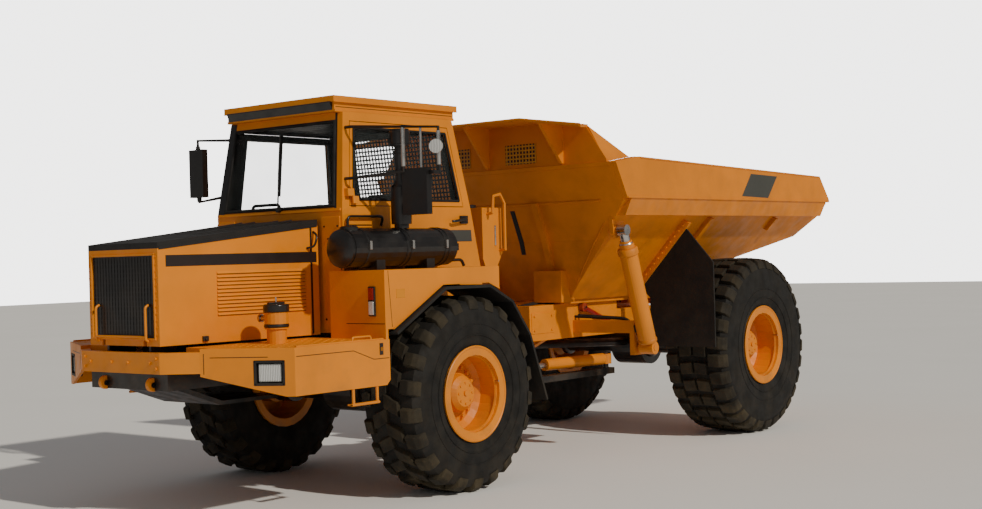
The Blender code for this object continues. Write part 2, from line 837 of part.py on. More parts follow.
node(
    "rear_window",
    "glass",
    [
        prism(
            "x",
            [
                (on_rear(2.4003, 0.028), 2.4003), (on_rear(3.0297, 0.028), 3.0297),
                (on_rear(3.0297, 0.020), 3.0297), (on_rear(2.4003, 0.020), 2.4003),
            ],
            -0.5997,
            0.5997,
        )
    ],
    shape_after=taper,
)
node(
    "cab_roof",
    "yellow",
    [
        box(-0.645, 0.645, -0.775, 0.72, CAB_HEADER + FIT, 3.22),
        box(-0.665, 0.665, -0.80, 0.75, 3.21, ROOF_TOP),
    ],
)
SEAT_X = 0.12
COLUMN = 0.30               # length of the steering column from inside the dash


def along_column(distance):
    """A point on the steering column's line."""
    return (SEAT_X, -0.60 + distance * 0.80, 2.06 + distance * 0.60)


node(
    "dashboard",
    "black",
    [
        box(-0.62, 0.62, -0.7797, -0.56, 1.3903, 2.22),
        slanted(along_column(0.0), along_column(COLUMN), 0.035, 14),
    ],
)
node("seat_base", "black", [box(SEAT_X - 0.2, SEAT_X + 0.2, 0.0, 0.36, 1.3903, 1.75)])
node(
    "seat_cushion",
    "cloth",
    [box(SEAT_X - 0.25, SEAT_X + 0.25, -0.08, 0.40, 1.7503, 1.87)],
)
node(
    "seat_back",
    "cloth",
    [
        prism(
            "x",
            [(0.28, 1.8703), (0.40, 1.8703), (0.50, 2.52), (0.40, 2.52)],
            SEAT_X - 0.24,
            SEAT_X + 0.24,
        )
    ],
)
node(
    "steering_wheel",
    "black",
    [slanted(along_column(COLUMN + FIT), along_column(COLUMN + 0.03), 0.19, 28)],
)


# ---- fittings on the deck -----------------------------------------------
node(
    "air_cleaner",
    "black",
    [
        rod("y", 0.97, 2.015, 0.155, -1.06, 0.16, 24),
        box(0.85, 1.09, -0.80, -0.70, 1.8403, 1.92),
        box(0.85, 1.09, -0.20, -0.10, 1.8403, 1.92),
    ],
)
node(
    "intake_stack",
    "black",
    [
        rod("z", 0.97, -0.36, 0.045, 2.1703, 2.86, 16),
        rod("z", 0.97, -0.36, 0.080, 2.84, 2.98, 18),
        rod("z", 0.97, -0.36, 0.060, 2.1703, 2.21, 16),
    ],
    [rod("y", 0.97, 2.015, 0.1553, -1.06, 0.16, 24)],
)
node(
    "filler_neck",
    "yellow",
    [rod("z", 0.80, -1.62, 0.075, 1.3103, 1.43, 18), rod("z", 0.80, -1.62, 0.090, 1.42, 1.55, 18)],
)
tank = [
    (0.97, 1.90), (1.04, 1.74), (1.12, 1.74), (1.25, 1.95), (1.25, 2.36), (0.97, 2.36),
]
tank_rail = tube(
    [(0.72, 1.05, 2.30), (0.80, 1.05, 2.31), (0.80, 1.06, 2.46), (0.80, 1.16, 2.48),
     (0.80, 1.22, 2.40), (0.80, 1.22, 1.98), (0.72, 1.22, 1.97)],
    0.016,
    resolution=1,
)
node("hydraulic_tank", "yellow", [prism("x", tank, 0.30, 0.74), tank_rail])
node(
    "mirror_left",
    "black",
    [
        tube([(0.6914, -0.70, 3.0), (0.76, -0.70, 3.0), (1.44, -0.42, 2.96), (1.44, -0.42, 2.60)],
             0.014, resolution=1),
        tube([(0.7326, -0.76, 2.58), (0.80, -0.76, 2.58), (1.16, -0.53, 2.62), (1.16, -0.53, 2.99)],
             0.014, resolution=1),
        box(1.14, 1.40, -0.53, -0.47, 2.27, 2.64),
        box(1.38, 1.45, -0.50, -0.41, 2.585, 2.615),
    ],
)
node(
    "mirror_right",
    "black",
    [
        tube([(-0.6917, -0.70, 3.0), (-0.74, -0.70, 3.0), (-0.99, -0.83, 3.01), (-0.99, -0.83, 2.90)],
             0.014, resolution=1),
        tube([(-0.7391, -0.76, 2.50), (-0.79, -0.76, 2.50), (-0.99, -0.83, 2.47), (-0.99, -0.83, 2.54)],
             0.014, resolution=1),
        box(-1.08, -0.90, -0.86, -0.80, 2.51, 2.93),
    ],
)


# ---- hitch and steering cylinders ---------------------------------------
STEER_BASE = (0.58, 3.10)   # barrel pin on the hitch arm
STEER_Z = 0.85
node(
    "hitch",
    "black",
    [
        rod("z", 0.0, PIVOT, 0.115, 0.885, 1.165, 24),
        rod("z", 0.0, PIVOT, 0.050, PIN_LOW, PIN_HIGH, 20),
        box(-0.12, 0.12, PIVOT, 1.72, 0.90, 1.15),
        rod("y", 0.0, ROLL_HEIGHT, 0.150, 1.66, 2.40, 24),
        box(-0.12, 0.12, 1.62, 1.72, 0.70, 1.00),
        box(-0.64, 0.64, 1.60, 1.70, 0.70, 0.77),
        *both(box(0.52, 0.64, 1.65, 3.17, 0.70, 0.76)),
        *both(rod("z", *STEER_BASE, 0.030, 0.74, 0.915, 16)),
    ],
    origin=(0.0, PIVOT, ROLL_HEIGHT),
)
steer_run = (LUG_X - STEER_BASE[0], LUG_Y - STEER_BASE[1])
steer_length = math.hypot(*steer_run)


def along_steer(distance):
    """A point on the steering cylinder's line, measured from the barrel pin."""
    share = distance / steer_length
    return (STEER_BASE[0] + steer_run[0] * share, STEER_BASE[1] + steer_run[1] * share, STEER_Z)


steer_barrel = carved(
    slanted(along_steer(0.05), along_steer(0.92), 0.058, 20),
    [slanted(along_steer(0.13), along_steer(1.00), 0.0286, 20)],
)
two_sides(
    "steering_barrel",
    "yellow",
    [steer_barrel, rod("z", *STEER_BASE, 0.060, 0.800, 0.900, 20)],
    [rod("z", *STEER_BASE, 0.0308, 0.70, 1.00, 16)],
    origin=(*STEER_BASE, STEER_Z),
)
two_sides(
    "steering_rod",
    "steel",
    [
        slanted(along_steer(0.50), along_steer(steer_length - 0.03), 0.028, 16),
        rod("z", LUG_X, LUG_Y, 0.052, 0.820, 0.880, 20),
        rod("z", LUG_X, LUG_Y, 0.024, 0.870, 0.9245, 14),
    ],
    origin=(LUG_X, LUG_Y, STEER_Z),
)


# ---- rear frame and axle ------------------------------------------------
HOIST_X = 1.345
HOIST_BASE = (2.72, 1.00)   # (Y, Z) of the barrel pin
HOIST_EYE = (2.33, 2.13)
TUBE_FRONT = 1.76
rear_tube = carved(
    rod("y", 0.0, ROLL_HEIGHT, 0.215, TUBE_FRONT, 2.36, 28),
    [rod("y", 0.0, ROLL_HEIGHT, 0.1515, 1.5, 2.5, 28)],
)
cross_plate = [(-0.50, 1.43), (-0.50, 1.13), (-0.25, 1.00), (0.25, 1.00), (0.50, 1.13), (0.50, 1.43)]
cross_bore = carved(
    prism("y", cross_plate, 1.95, 2.03),
    [rod("y", 0.0, ROLL_HEIGHT, 0.20, 1.5, 2.5, 28)],
)
cross_rear = carved(
    prism("y", cross_plate, 2.27, 2.35),
    [rod("y", 0.0, ROLL_HEIGHT, 0.20, 1.5, 2.5, 28)],
)
node(
    "rear_frame",
    "yellow",
    [
        rear_tube,
        cross_bore,
        cross_rear,
        *both(box(0.42, 0.50, 1.95, 3.45, 1.09, 1.43)),
        *both(box(0.38, 0.48, 3.40, 5.30, 1.10, 1.34)),
        box(-0.45, 0.45, 3.36, 3.45, 1.10, 1.30),
        box(-0.45, 0.45, 4.95, 5.05, 1.10, 1.30),
        *both(rod("x", TIP_PIN, TIP_HEIGHT, 0.085, 0.38, 0.48, 20)),
        rod("x", TIP_PIN, TIP_HEIGHT, 0.035, -0.60, 0.60, 16),
        *both(box(0.45, 1.24, 2.66, 2.80, 1.14, 1.26)),
        *both(box(1.18, 1.23, 2.64, 2.80, 0.93, 1.26)),
        *both(rod("x", *HOIST_BASE, 0.028, 1.20, 1.420, 16)),
        *both(box(0.40, 0.47, 4.48, 4.68, 1.0293, 1.14)),
    ],
    origin=(0.0, 2.0, ROLL_HEIGHT),
)
node(
    "rear_axle",
    "black",
    [
        rod("x", REAR_AXLE, REAR_TYRE_RADIUS, 0.114, -0.90, 0.90, 24),
        rod("x", REAR_AXLE, REAR_TYRE_RADIUS, 0.235, -0.19, 0.19, 28),
        *both(rod("x", REAR_AXLE, REAR_TYRE_RADIUS, 0.090, 0.85, 1.0397, 20)),
        slanted((0.0, 2.46, 1.02), (0.0, 4.50, 0.93), 0.045, 14),
    ],
)


# ---- dump body ----------------------------------------------------------
def body_section(inset, floor):
    """Half of the body's cross-section, floor to rail, mirrored to a whole."""
    i = inset
    right = [
        (BODY_FLOOR_HALF - i * 0.6, floor), (BODY_HALF - i, BODY_RAIL_BOTTOM - 0.02 + i * 0.4),
        (BODY_HALF - i, 2.95),
    ]
    return [(-x, z) for x, z in reversed(right)] + right


def body_profile(inset):
    """Side view of the body, from the front foot round to the tail."""
    i = inset
    return [
        (2.50 + i, BODY_FLOOR + i), (3.60, BODY_FLOOR + i), (6.22, 2.05 + i),
        (TAIL, 2.27), (6.37, 2.46), (6.15, 2.72), (2.40, BODY_RAIL_TOP), (2.00 + i, 2.76),
        (2.03 + i, 2.70), (2.19 + i, 2.41), (2.35 + i, 2.05),
    ]


outer_side = body_profile(0.0)
inner_side = [
    (2.50 + BODY_WALL, BODY_FLOOR + BODY_WALL), (3.60, BODY_FLOOR + BODY_WALL),
    (6.80, 2.175 + BODY_WALL), (6.80, 3.2), (1.50, 3.2), (1.50, 2.90), (2.05, 2.80),
    (2.08, 2.70), (2.24, 2.41), (2.40, 2.05),
]
outer = prism("y", body_section(0.0, BODY_FLOOR), 1.5, 6.9)
whole = prism("x", outer_side, -1.6, 1.6)
combine(outer, [whole], "INTERSECT")
outer = carved(outer, [])
bpy.data.objects.remove(whole, do_unlink=True)
hollow = prism("y", body_section(BODY_WALL, BODY_FLOOR), 1.4, 7.0)
inside = prism("x", inner_side, -1.6, 1.6)
combine(hollow, [inside], "INTERSECT")
hollow = carved(hollow, [])
bpy.data.objects.remove(inside, do_unlink=True)
tip_pin = (0.0, TIP_PIN, TIP_HEIGHT)
ear = [
    (4.90, 1.60), (4.98, 1.34), (5.02, 1.28), (5.10, 1.25), (5.18, 1.28), (5.24, 1.36),
    (5.30, 1.95), (4.90, 1.90),
]
RAIL_FACE = BODY_HALF + 0.05
rail_side = [
    (2.004, 2.757), (2.40, 2.817), (6.148, 2.717), (6.367, 2.458), (6.367, 2.425),
    (2.186, 2.425), (2.034, 2.70),
]
rail_lip = [(1.34, 2.44), (RAIL_FACE - 0.002, 2.44), (1.42, 2.27), (1.26, 2.27)]
front_rib = [(2.14, 2.42), (2.24, 2.42), (2.41, 2.04), (2.56, 1.60), (2.46, 1.60), (2.31, 2.04)]
hoist_ear = [(2.24, 2.38), (2.27, 2.10), (2.33, 2.06), (2.40, 2.09), (2.56, 2.45), (2.30, 2.45)]
node(
    "dump_body",
    "yellow",
    [
        outer,
        *both(box(0.43, 0.55, 2.46, 5.00, 1.4303, 1.50)),
        *both(box(0.27, 0.60, 2.34, 2.56, 1.45, 1.76)),
        *both(prism("x", front_rib, 0.40, 0.47)),
        *both(prism("x", ear, 0.5003, 0.575)),
        *both(prism("x", hoist_ear, 1.235, 1.275)),
        *both(rod("x", *HOIST_EYE, 0.026, 1.25, 1.2945, 14)),
        *both(prism("x", rail_side, BODY_HALF - 0.01, RAIL_FACE)),
        *both(prism("y", rail_lip, 2.26, 6.30)),
    ],
    [
        rod("x", TIP_PIN, TIP_HEIGHT, 0.0365, -0.70, 0.70, 16),
        hollow,
    ],
    origin=tip_pin,
)
def plate(corners, depth, name="plate"):
    """A flat three-cornered plate of a thickness, Y stated from the front axle."""
    bm = bmesh.new()
    near = [bm.verts.new((x, fore_aft(y), z)) for x, y, z in corners]
    across = (near[1].co - near[0].co).cross(near[2].co - near[0].co).normalized() * depth
    far = [bm.verts.new(vert.co + across) for vert in near]
    bm.faces.new(near)
    bm.faces.new(far)
    for i in range(3):
        bm.faces.new([near[i], near[i - 1], far[i - 1], far[i]])
    return mesh_object(name, bm)


def body_top(y):
    """Just above the top edge of the body's front and side walls, near the front."""
    return 2.76 + (BODY_RAIL_TOP - 2.76) * (y - 2.00) / 0.40 + 2 * FIT


# The wall stands on the body's front edge, and the canopy reaches forward over the cab.
CANOPY = 1.60
WALL_FRONT = 2.012
WALL_BACK = 2.048
guard_top = [
    (-1.40, 3.09), (-0.71, 3.20), (0.71, 3.20), (1.40, 3.09), (1.40, 3.06), (0.71, 3.17),
    (-0.71, 3.17), (-1.40, 3.06),
]
guard_wall = [
    (-1.39, 2.72), (-1.39, 2.79), (-1.17, 3.11), (-0.71, 3.185), (0.71, 3.185), (1.17, 3.11),
    (1.39, 2.79), (1.39, 2.72),
]
canopy_end = [(1.41, CANOPY), (1.60, CANOPY), (1.60, 2.20), (1.17, 2.20), (1.17, WALL_FRONT)]
guard_side = [(1.175, 2.02, 3.10), (1.385, 2.02, 2.74), (1.385, 2.40, 2.80)]
below_guard = [(1.80, 2.60), (1.80, body_top(1.80)), (2.60, body_top(2.60)), (2.60, 2.60)]


def guard_gusset(top):
    """From under the canopy's lip back to the wall, in side view."""
    return [(CANOPY + 0.04, top), (2.03, top), (2.03, 2.775), (1.985, 2.775)]


canopy = carved(
    prism("y", guard_top, CANOPY, WALL_BACK + 0.002), both(prism("z", canopy_end, 3.00, 3.30))
)
node(
    "spill_guard",
    "yellow",
    [
        prism("y", guard_wall, WALL_FRONT, WALL_BACK),
        canopy,
        *both(plate(guard_side, 0.02)),
        *both(prism("x", guard_gusset(3.15), 0.88, 0.91)),
        prism("x", guard_gusset(3.18), -0.015, 0.015),
    ],
    [prism("x", below_guard, -1.60, 1.60)],
    origin=tip_pin,
)


def side_at(z):
    """Just outside the body's leaning side at a height."""
    slope = (BODY_HALF - BODY_FLOOR_HALF) / (BODY_RAIL_BOTTOM - 0.02 - BODY_FLOOR)
    return BODY_FLOOR_HALF + slope * (z - BODY_FLOOR) + 0.0006


FLAP_FRONT = REAR_AXLE - REAR_TYRE_RADIUS - 0.135
FLAP_OUT = REAR_HALF_TRACK + REAR_TYRE_WIDTH / 2
flap = [
    (FLAP_OUT, 0.955), (FLAP_OUT, 1.80), (side_at(2.20), 2.20), (side_at(1.60), 1.60),
    (0.86, 1.45), (0.86, 0.955),
]
two_sides(
    "wheel_flap", "rubber", [prism("y", flap, FLAP_FRONT, FLAP_FRONT + 0.02)], origin=tip_pin
)


# ---- hoists: a barrel and three sections that run out of it --------------
hoist_run = (HOIST_EYE[0] - HOIST_BASE[0], HOIST_EYE[1] - HOIST_BASE[1])
hoist_length = math.hypot(*hoist_run)


def along_hoist(distance):
    """A point on the hoist's line, measured from its lower pin."""
    share = distance / hoist_length
    return (HOIST_X, HOIST_BASE[0] + hoist_run[0] * share, HOIST_BASE[1] + hoist_run[1] * share)


HOIST_SECTIONS = [
    ("hoist_barrel", 0.085, 0.0725, 0.06, 1.020),
    ("hoist_stage_outer", 0.0715, 0.0595, 0.085, 1.060),
    ("hoist_stage_inner", 0.0585, 0.0465, 0.100, 1.090),
    ("hoist_rod", 0.0455, 0.0, 0.115, hoist_length - 0.03),
]
for title, radius, bore, low, high in HOIST_SECTIONS:
    pieces = [slanted(along_hoist(low), along_hoist(high), radius, 24)]
    if bore:
        pieces = [
            carved(pieces[0], [slanted(along_hoist(low + 0.012), along_hoist(high + 0.1), bore, 24)])
        ]
    holes = []
    origin = (HOIST_X, *HOIST_BASE)
    if title == "hoist_barrel":
        pieces.append(rod("x", *HOIST_BASE, 0.062, 1.260, 1.415, 20))
        holes.append(rod("x", *HOIST_BASE, 0.0288, 1.10, 1.50, 16))
    if title == "hoist_rod":
        pieces.append(rod("x", *HOIST_EYE, 0.052, 1.300, 1.390, 20))
        origin = (HOIST_X, *HOIST_EYE)
    two_sides(title, "yellow" if bore else "steel", pieces, holes, origin=origin)
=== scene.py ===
"""Looks for the articulated dump truck: tread, trim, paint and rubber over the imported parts."""

import math

import bmesh
import bpy
from mathutils import Matrix, Vector


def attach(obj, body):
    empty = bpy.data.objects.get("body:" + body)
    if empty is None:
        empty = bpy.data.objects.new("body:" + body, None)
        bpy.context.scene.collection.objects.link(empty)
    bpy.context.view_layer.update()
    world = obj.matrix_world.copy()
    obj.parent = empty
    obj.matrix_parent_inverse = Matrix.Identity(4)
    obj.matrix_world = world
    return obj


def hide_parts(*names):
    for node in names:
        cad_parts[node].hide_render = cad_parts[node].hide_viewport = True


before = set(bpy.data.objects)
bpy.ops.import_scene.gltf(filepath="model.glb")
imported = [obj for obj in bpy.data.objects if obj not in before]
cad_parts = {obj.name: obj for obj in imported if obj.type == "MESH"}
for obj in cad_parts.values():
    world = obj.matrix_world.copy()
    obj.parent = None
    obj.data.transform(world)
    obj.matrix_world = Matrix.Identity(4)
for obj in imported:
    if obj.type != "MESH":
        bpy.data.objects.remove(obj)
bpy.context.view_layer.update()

MIDDLE = 1.97               # the frame's Y zero, measured from the front axle
SIDES = (("left", 1.0), ("right", -1.0))

# The cab's walls lean in above the waist. The inner faces are given there, with their change per metre up.
CAB_WAIST = 2.32
CAB_GLASS_HEIGHT = 0.81
INNER_HALF, INNER_SIDE_LEAN = 0.743, -0.098
INNER_FRONT, INNER_FRONT_LEAN = -0.818, 0.148
INNER_REAR, INNER_REAR_LEAN = 0.788, -0.173
INNER_FLOOR, INNER_CEILING = 1.46, 3.14

HOLES_PER_METRE = 26.0      # in a perforated sheet
BRIDGE_SHARE = 0.38         # of each pitch that is left solid


# ---- materials ----------------------------------------------------------
def new_material(name):
    """A material with its Principled shader, and object coordinates to drive noise."""
    material = bpy.data.materials.new(name)
    material.use_nodes = True
    tree = material.node_tree
    shader = tree.nodes["Principled BSDF"]
    coords = tree.nodes.new("ShaderNodeTexCoord")
    return material, tree, shader, coords.outputs["Object"]


def add_noise(tree, coords, scale, detail=6.0):
    noise = tree.nodes.new("ShaderNodeTexNoise")
    noise.inputs["Scale"].default_value = scale
    noise.inputs["Detail"].default_value = detail
    tree.links.new(coords, noise.inputs["Vector"])
    return noise.outputs["Fac"]


def add_ramp(tree, value, low, high, first, last):
    """Maps a value between low and high onto two colours."""
    ramp = tree.nodes.new("ShaderNodeValToRGB")
    ramp.color_ramp.elements[0].position = low
    ramp.color_ramp.elements[1].position = high
    ramp.color_ramp.elements[0].color = first
    ramp.color_ramp.elements[1].color = last
    tree.links.new(value, ramp.inputs["Fac"])
    return ramp.outputs["Color"]


def add_mix(tree, share, first, last):
    mix = tree.nodes.new("ShaderNodeMix")
    mix.data_type = "RGBA"
    tree.links.new(share, mix.inputs["Factor"])
    tree.links.new(first, mix.inputs["A"])
    tree.links.new(last, mix.inputs["B"])
    return mix.outputs["Result"]


def add_bump(tree, shader, height, strength, distance):
    bump = tree.nodes.new("ShaderNodeBump")
    bump.inputs["Strength"].default_value = strength
    bump.inputs["Distance"].default_value = distance
    tree.links.new(height, bump.inputs["Height"])
    tree.links.new(bump.outputs["Normal"], shader.inputs["Normal"])


def split_coords(tree, coords):
    """The X, Y and Z sockets of the object coordinates."""
    split = tree.nodes.new("ShaderNodeSeparateXYZ")
    tree.links.new(coords, split.inputs["Vector"])
    return split.outputs


def add_low_share(tree, coords, top):
    """1 at the ground, falling to 0 at the height top."""
    span = tree.nodes.new("ShaderNodeMapRange")
    span.inputs["From Min"].default_value = 0.0
    span.inputs["From Max"].default_value = top
    span.inputs["To Min"].default_value = 1.0
    span.inputs["To Max"].default_value = 0.0
    tree.links.new(split_coords(tree, coords)["Z"], span.inputs["Value"])
    return span.outputs["Result"]


def compute(tree, operation, *values):
    """A Math node on sockets and numbers."""
    node = tree.nodes.new("ShaderNodeMath")
    node.operation = operation
    for place, value in zip(node.inputs, values):
        if isinstance(value, float):
            place.default_value = value
        else:
            tree.links.new(value, place)
    return node.outputs["Value"]


def multiply(tree, first, last):
    return compute(tree, "MULTIPLY", first, last)


def add_inside_cab(tree, coords):
    """1 on the cab's inner faces and window reveals, 0 on its outer skin."""
    x, y, z = (split_coords(tree, coords)[axis] for axis in "XYZ")
    above = compute(tree, "MAXIMUM", compute(tree, "SUBTRACT", z, CAB_WAIST), 0.0)
    half = compute(tree, "MULTIPLY_ADD", above, INNER_SIDE_LEAN, INNER_HALF)
    front = compute(tree, "MULTIPLY_ADD", above, INNER_FRONT_LEAN, INNER_FRONT - MIDDLE)
    rear = compute(tree, "MULTIPLY_ADD", above, INNER_REAR_LEAN, INNER_REAR - MIDDLE)
    share = compute(tree, "LESS_THAN", compute(tree, "ABSOLUTE", x), half)
    for test in (
        compute(tree, "GREATER_THAN", y, front), compute(tree, "LESS_THAN", y, rear),
        compute(tree, "GREATER_THAN", z, INNER_FLOOR), compute(tree, "LESS_THAN", z, INNER_CEILING),
    ):
        share = multiply(tree, share, test)
    return share


def grey(value):
    return (value, value, value, 1.0)


def shaded(colour, factor):
    return tuple(c * factor for c in colour[:3]) + (1.0,)


def surface(name, base, dust, rough=(0.35, 0.6), metallic=0.0, bump=0.15, grain=40.0, low=2.2,
            dusty=(0.42, 0.62), coat=0.0, lining=None):
    """Paint, rubber or metal: uneven colour, dust that gathers low down, fine bumps.

    A lining is the colour of the faces inside the cab.
    """
    material, tree, shader, coords = new_material(name)
    broad = add_noise(tree, coords, 1.7, 8.0)
    fine = add_noise(tree, coords, grain, 5.0)
    darker = shaded(base, 0.82)
    colour = add_ramp(tree, broad, 0.32, 0.68, darker, base)
    patches = add_ramp(tree, add_noise(tree, coords, 5.5, 10.0), dusty[0], dusty[1], grey(0), grey(1))
    share = multiply(tree, patches, add_low_share(tree, coords, low))
    dust_colour = add_ramp(tree, fine, 0.3, 0.7, dust, shaded(dust, 0.8))
    finished = add_mix(tree, share, colour, dust_colour)
    if lining:
        shade = add_ramp(tree, fine, 0.3, 0.7, lining, shaded(lining, 1.5))
        finished = add_mix(tree, add_inside_cab(tree, coords), finished, shade)
    tree.links.new(finished, shader.inputs["Base Color"])
    roughness = add_ramp(tree, add_noise(tree, coords, 9.0), 0.35, 0.65, grey(rough[0]), grey(rough[1]))
    tree.links.new(roughness, shader.inputs["Roughness"])
    shader.inputs["Metallic"].default_value = metallic
    shader.inputs["Coat Weight"].default_value = coat
    shader.inputs["Coat Roughness"].default_value = 0.12
    add_bump(tree, shader, fine, bump, 0.004)
    return material


def clear_glass(name, tint, alpha, rough):
    """Thin glass: see-through, with a faint uneven film."""
    material, tree, shader, coords = new_material(name)
    film = add_noise(tree, coords, 3.0, 8.0)
    colour = add_ramp(tree, film, 0.3, 0.7, tint, shaded(tint, 0.9))
    tree.links.new(colour, shader.inputs["Base Color"])
    opacity = add_ramp(tree, film, 0.35, 0.75, grey(alpha), grey(alpha * 1.6))
    tree.links.new(opacity, shader.inputs["Alpha"])
    tree.links.new(add_ramp(tree, film, 0.3, 0.7, grey(rough), grey(rough * 2)), shader.inputs["Roughness"])
    return material


def lamp_lens(name, tint):
    """A ribbed lens over a bright reflector."""
    material, tree, shader, coords = new_material(name)
    ribs = tree.nodes.new("ShaderNodeTexWave")
    ribs.inputs["Scale"].default_value = 28.0
    ribs.inputs["Distortion"].default_value = 1.5
    tree.links.new(coords, ribs.inputs["Vector"])
    dark = shaded(tint, 0.45)
    tree.links.new(add_ramp(tree, ribs.outputs["Fac"], 0.2, 0.8, dark, tint), shader.inputs["Base Color"])
    tree.links.new(add_ramp(tree, ribs.outputs["Fac"], 0.0, 1.0, grey(0.08), grey(0.2)),
                   shader.inputs["Roughness"])
    shader.inputs["Metallic"].default_value = 0.35
    add_bump(tree, shader, ribs.outputs["Fac"], 0.5, 0.002)
    return material


def mesh_panel(name, base):
    """A sheet with rows of square holes, cut out by its opacity."""
    material, tree, shader, coords = new_material(name)
    split = split_coords(tree, coords)
    shares = []
    for axis in "XZ":
        place = compute(tree, "FRACT", multiply(tree, split[axis], HOLES_PER_METRE))
        shares.append(compute(tree, "LESS_THAN", place, BRIDGE_SHARE))
    tree.links.new(compute(tree, "MAXIMUM", *shares), shader.inputs["Alpha"])
    fine = add_noise(tree, coords, 60.0)
    darker = shaded(base, 0.7)
    tree.links.new(add_ramp(tree, fine, 0.3, 0.7, darker, base), shader.inputs["Base Color"])
    tree.links.new(add_ramp(tree, fine, 0.3, 0.7, grey(0.4), grey(0.6)), shader.inputs["Roughness"])
    return material


def woven(name, base):
    """Seat cloth with a crossed weave."""
    material, tree, shader, coords = new_material(name)
    heights = []
    for turn in (0.0, math.pi / 2):
        place = tree.nodes.new("ShaderNodeMapping")
        place.inputs["Rotation"].default_value = (0.0, 0.0, turn)
        tree.links.new(coords, place.inputs["Vector"])
        wave = tree.nodes.new("ShaderNodeTexWave")
        wave.inputs["Scale"].default_value = 90.0
        wave.inputs["Distortion"].default_value = 2.0
        tree.links.new(place.outputs["Vector"], wave.inputs["Vector"])
        heights.append(wave.outputs["Fac"])
    weave = multiply(tree, heights[0], heights[1])
    lighter = shaded(base, 1.8)
    tree.links.new(add_ramp(tree, weave, 0.1, 0.6, base, lighter), shader.inputs["Base Color"])
    tree.links.new(add_ramp(tree, weave, 0.1, 0.6, grey(0.85), grey(0.95)), shader.inputs["Roughness"])
    add_bump(tree, shader, weave, 0.5, 0.002)
    return material


DUST = (0.44, 0.17, 0.030, 1.0)
SOOT = (0.055, 0.038, 0.024, 1.0)
ORANGE = (0.84, 0.262, 0.001, 1.0)
PAINTED = {"rough": (0.38, 0.58), "low": 1.5, "dusty": (0.48, 0.72)}
PAINT = surface("body_paint", ORANGE, DUST, **PAINTED, coat=0.05)
CAB_PAINT = surface("cab_paint", ORANGE, DUST, **PAINTED,
                    lining=(0.006, 0.005, 0.005, 1.0))
BODY_PAINT = surface("dump_body_paint", (0.80, 0.245, 0.001, 1.0), (0.46, 0.15, 0.012, 1.0), (0.45, 0.68),
                     dusty=(0.44, 0.70), low=3.4)
BLACK = surface("black_paint", (0.007, 0.006, 0.006, 1.0), SOOT, (0.28, 0.5), coat=0.2)
CHARCOAL = surface("charcoal_paint", (0.010, 0.009, 0.009, 1.0), SOOT, (0.5, 0.7))
BAND = surface("dark_band", (0.016, 0.009, 0.008, 1.0), SOOT, (0.4, 0.5), bump=0.05)
LABEL = surface("blank_label", (0.058, 0.060, 0.052, 1.0), SOOT, (0.4, 0.55), bump=0.05)
TYRE = surface("tyre_rubber", (0.0045, 0.004, 0.0035, 1.0), (0.018, 0.014, 0.009, 1.0), (0.75, 0.95),
               bump=0.4, grain=55.0, low=2.4)
TREAD = surface("tread_blocks", (0.016, 0.012, 0.006, 1.0), (0.060, 0.045, 0.022, 1.0), (0.8, 0.95),
                bump=0.5, grain=70.0, low=3.0, dusty=(0.40, 0.66))
SHEET_RUBBER = surface("sheet_rubber", (0.008, 0.007, 0.007, 1.0), (0.035, 0.027, 0.018, 1.0), (0.7, 0.9),
                       bump=0.3)
PLASTIC = surface("black_plastic", (0.009, 0.008, 0.008, 1.0), SOOT, (0.5, 0.7), bump=0.3, grain=120.0)
STEEL = surface("bright_steel", (0.62, 0.61, 0.58, 1.0), DUST, (0.18, 0.4), metallic=1.0, bump=0.05)
RED_PAINT = surface("red_paint", (0.34, 0.010, 0.008, 1.0), DUST, (0.35, 0.55))
GLASS = clear_glass("window_glass", (0.10, 0.12, 0.12, 1.0), 0.07, 0.02)
MIRROR = surface("mirror_face", (0.80, 0.82, 0.83, 1.0), DUST, (0.03, 0.08), metallic=1.0, bump=0.0)
CLEAR_LENS = lamp_lens("clear_lens", (0.85, 0.86, 0.84, 1.0))
RED_LENS = lamp_lens("red_lens", (0.45, 0.010, 0.008, 1.0))
AMBER_LENS = lamp_lens("amber_lens", (0.85, 0.30, 0.010, 1.0))
CLOTH = woven("seat_cloth", (0.030, 0.028, 0.028, 1.0))
HOLES = mesh_panel("perforated_sheet", (0.66, 0.30, 0.03, 1.0))
GUARD_HOLES = mesh_panel("guard_mesh", (0.03, 0.03, 0.03, 1.0))

NODE_PAINT = [
    ("tyre", TYRE), ("mudguard", SHEET_RUBBER), ("wheel_flap", SHEET_RUBBER),
    ("steering_rod", STEEL), ("hoist_rod", STEEL), ("seat_cushion", CLOTH), ("seat_back", CLOTH),
    ("dashboard", PLASTIC), ("steering_wheel", PLASTIC), ("seat_base", PLASTIC),
    ("hood_top", CHARCOAL), ("engine_block", CHARCOAL), ("front_frame", BLACK),
    ("front_axle", BLACK), ("rear_axle", BLACK), ("hitch", BLACK), ("grille", BLACK),
    ("air_cleaner", BLACK), ("intake_stack", BLACK), ("mirror", BLACK),
    ("windscreen", GLASS), ("rear_window", GLASS), ("door_left_glass", GLASS),
    ("door_right_glass", GLASS), ("door_left", CAB_PAINT), ("door_right", CAB_PAINT),
    ("cab_shell", CAB_PAINT), ("cab_roof", CAB_PAINT), ("dump_body", BODY_PAINT),
    ("spill_guard", BODY_PAINT),
]
for name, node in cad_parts.items():
    node.data.materials.clear()
    node.data.materials.append(next((m for start, m in NODE_PAINT if name.startswith(start)), PAINT))


# ---- shapes: each returns points (Y from the front axle) and faces --------
def box(x0, x1, y0, y1, z0, z1):
    points = [(x, y, z) for z in (z0, z1) for y in (y0, y1) for x in (x0, x1)]
    faces = [(0, 2, 3, 1), (4, 5, 7, 6), (0, 1, 5, 4), (2, 6, 7, 3), (0, 4, 6, 2), (1, 3, 7, 5)]
    return points, faces


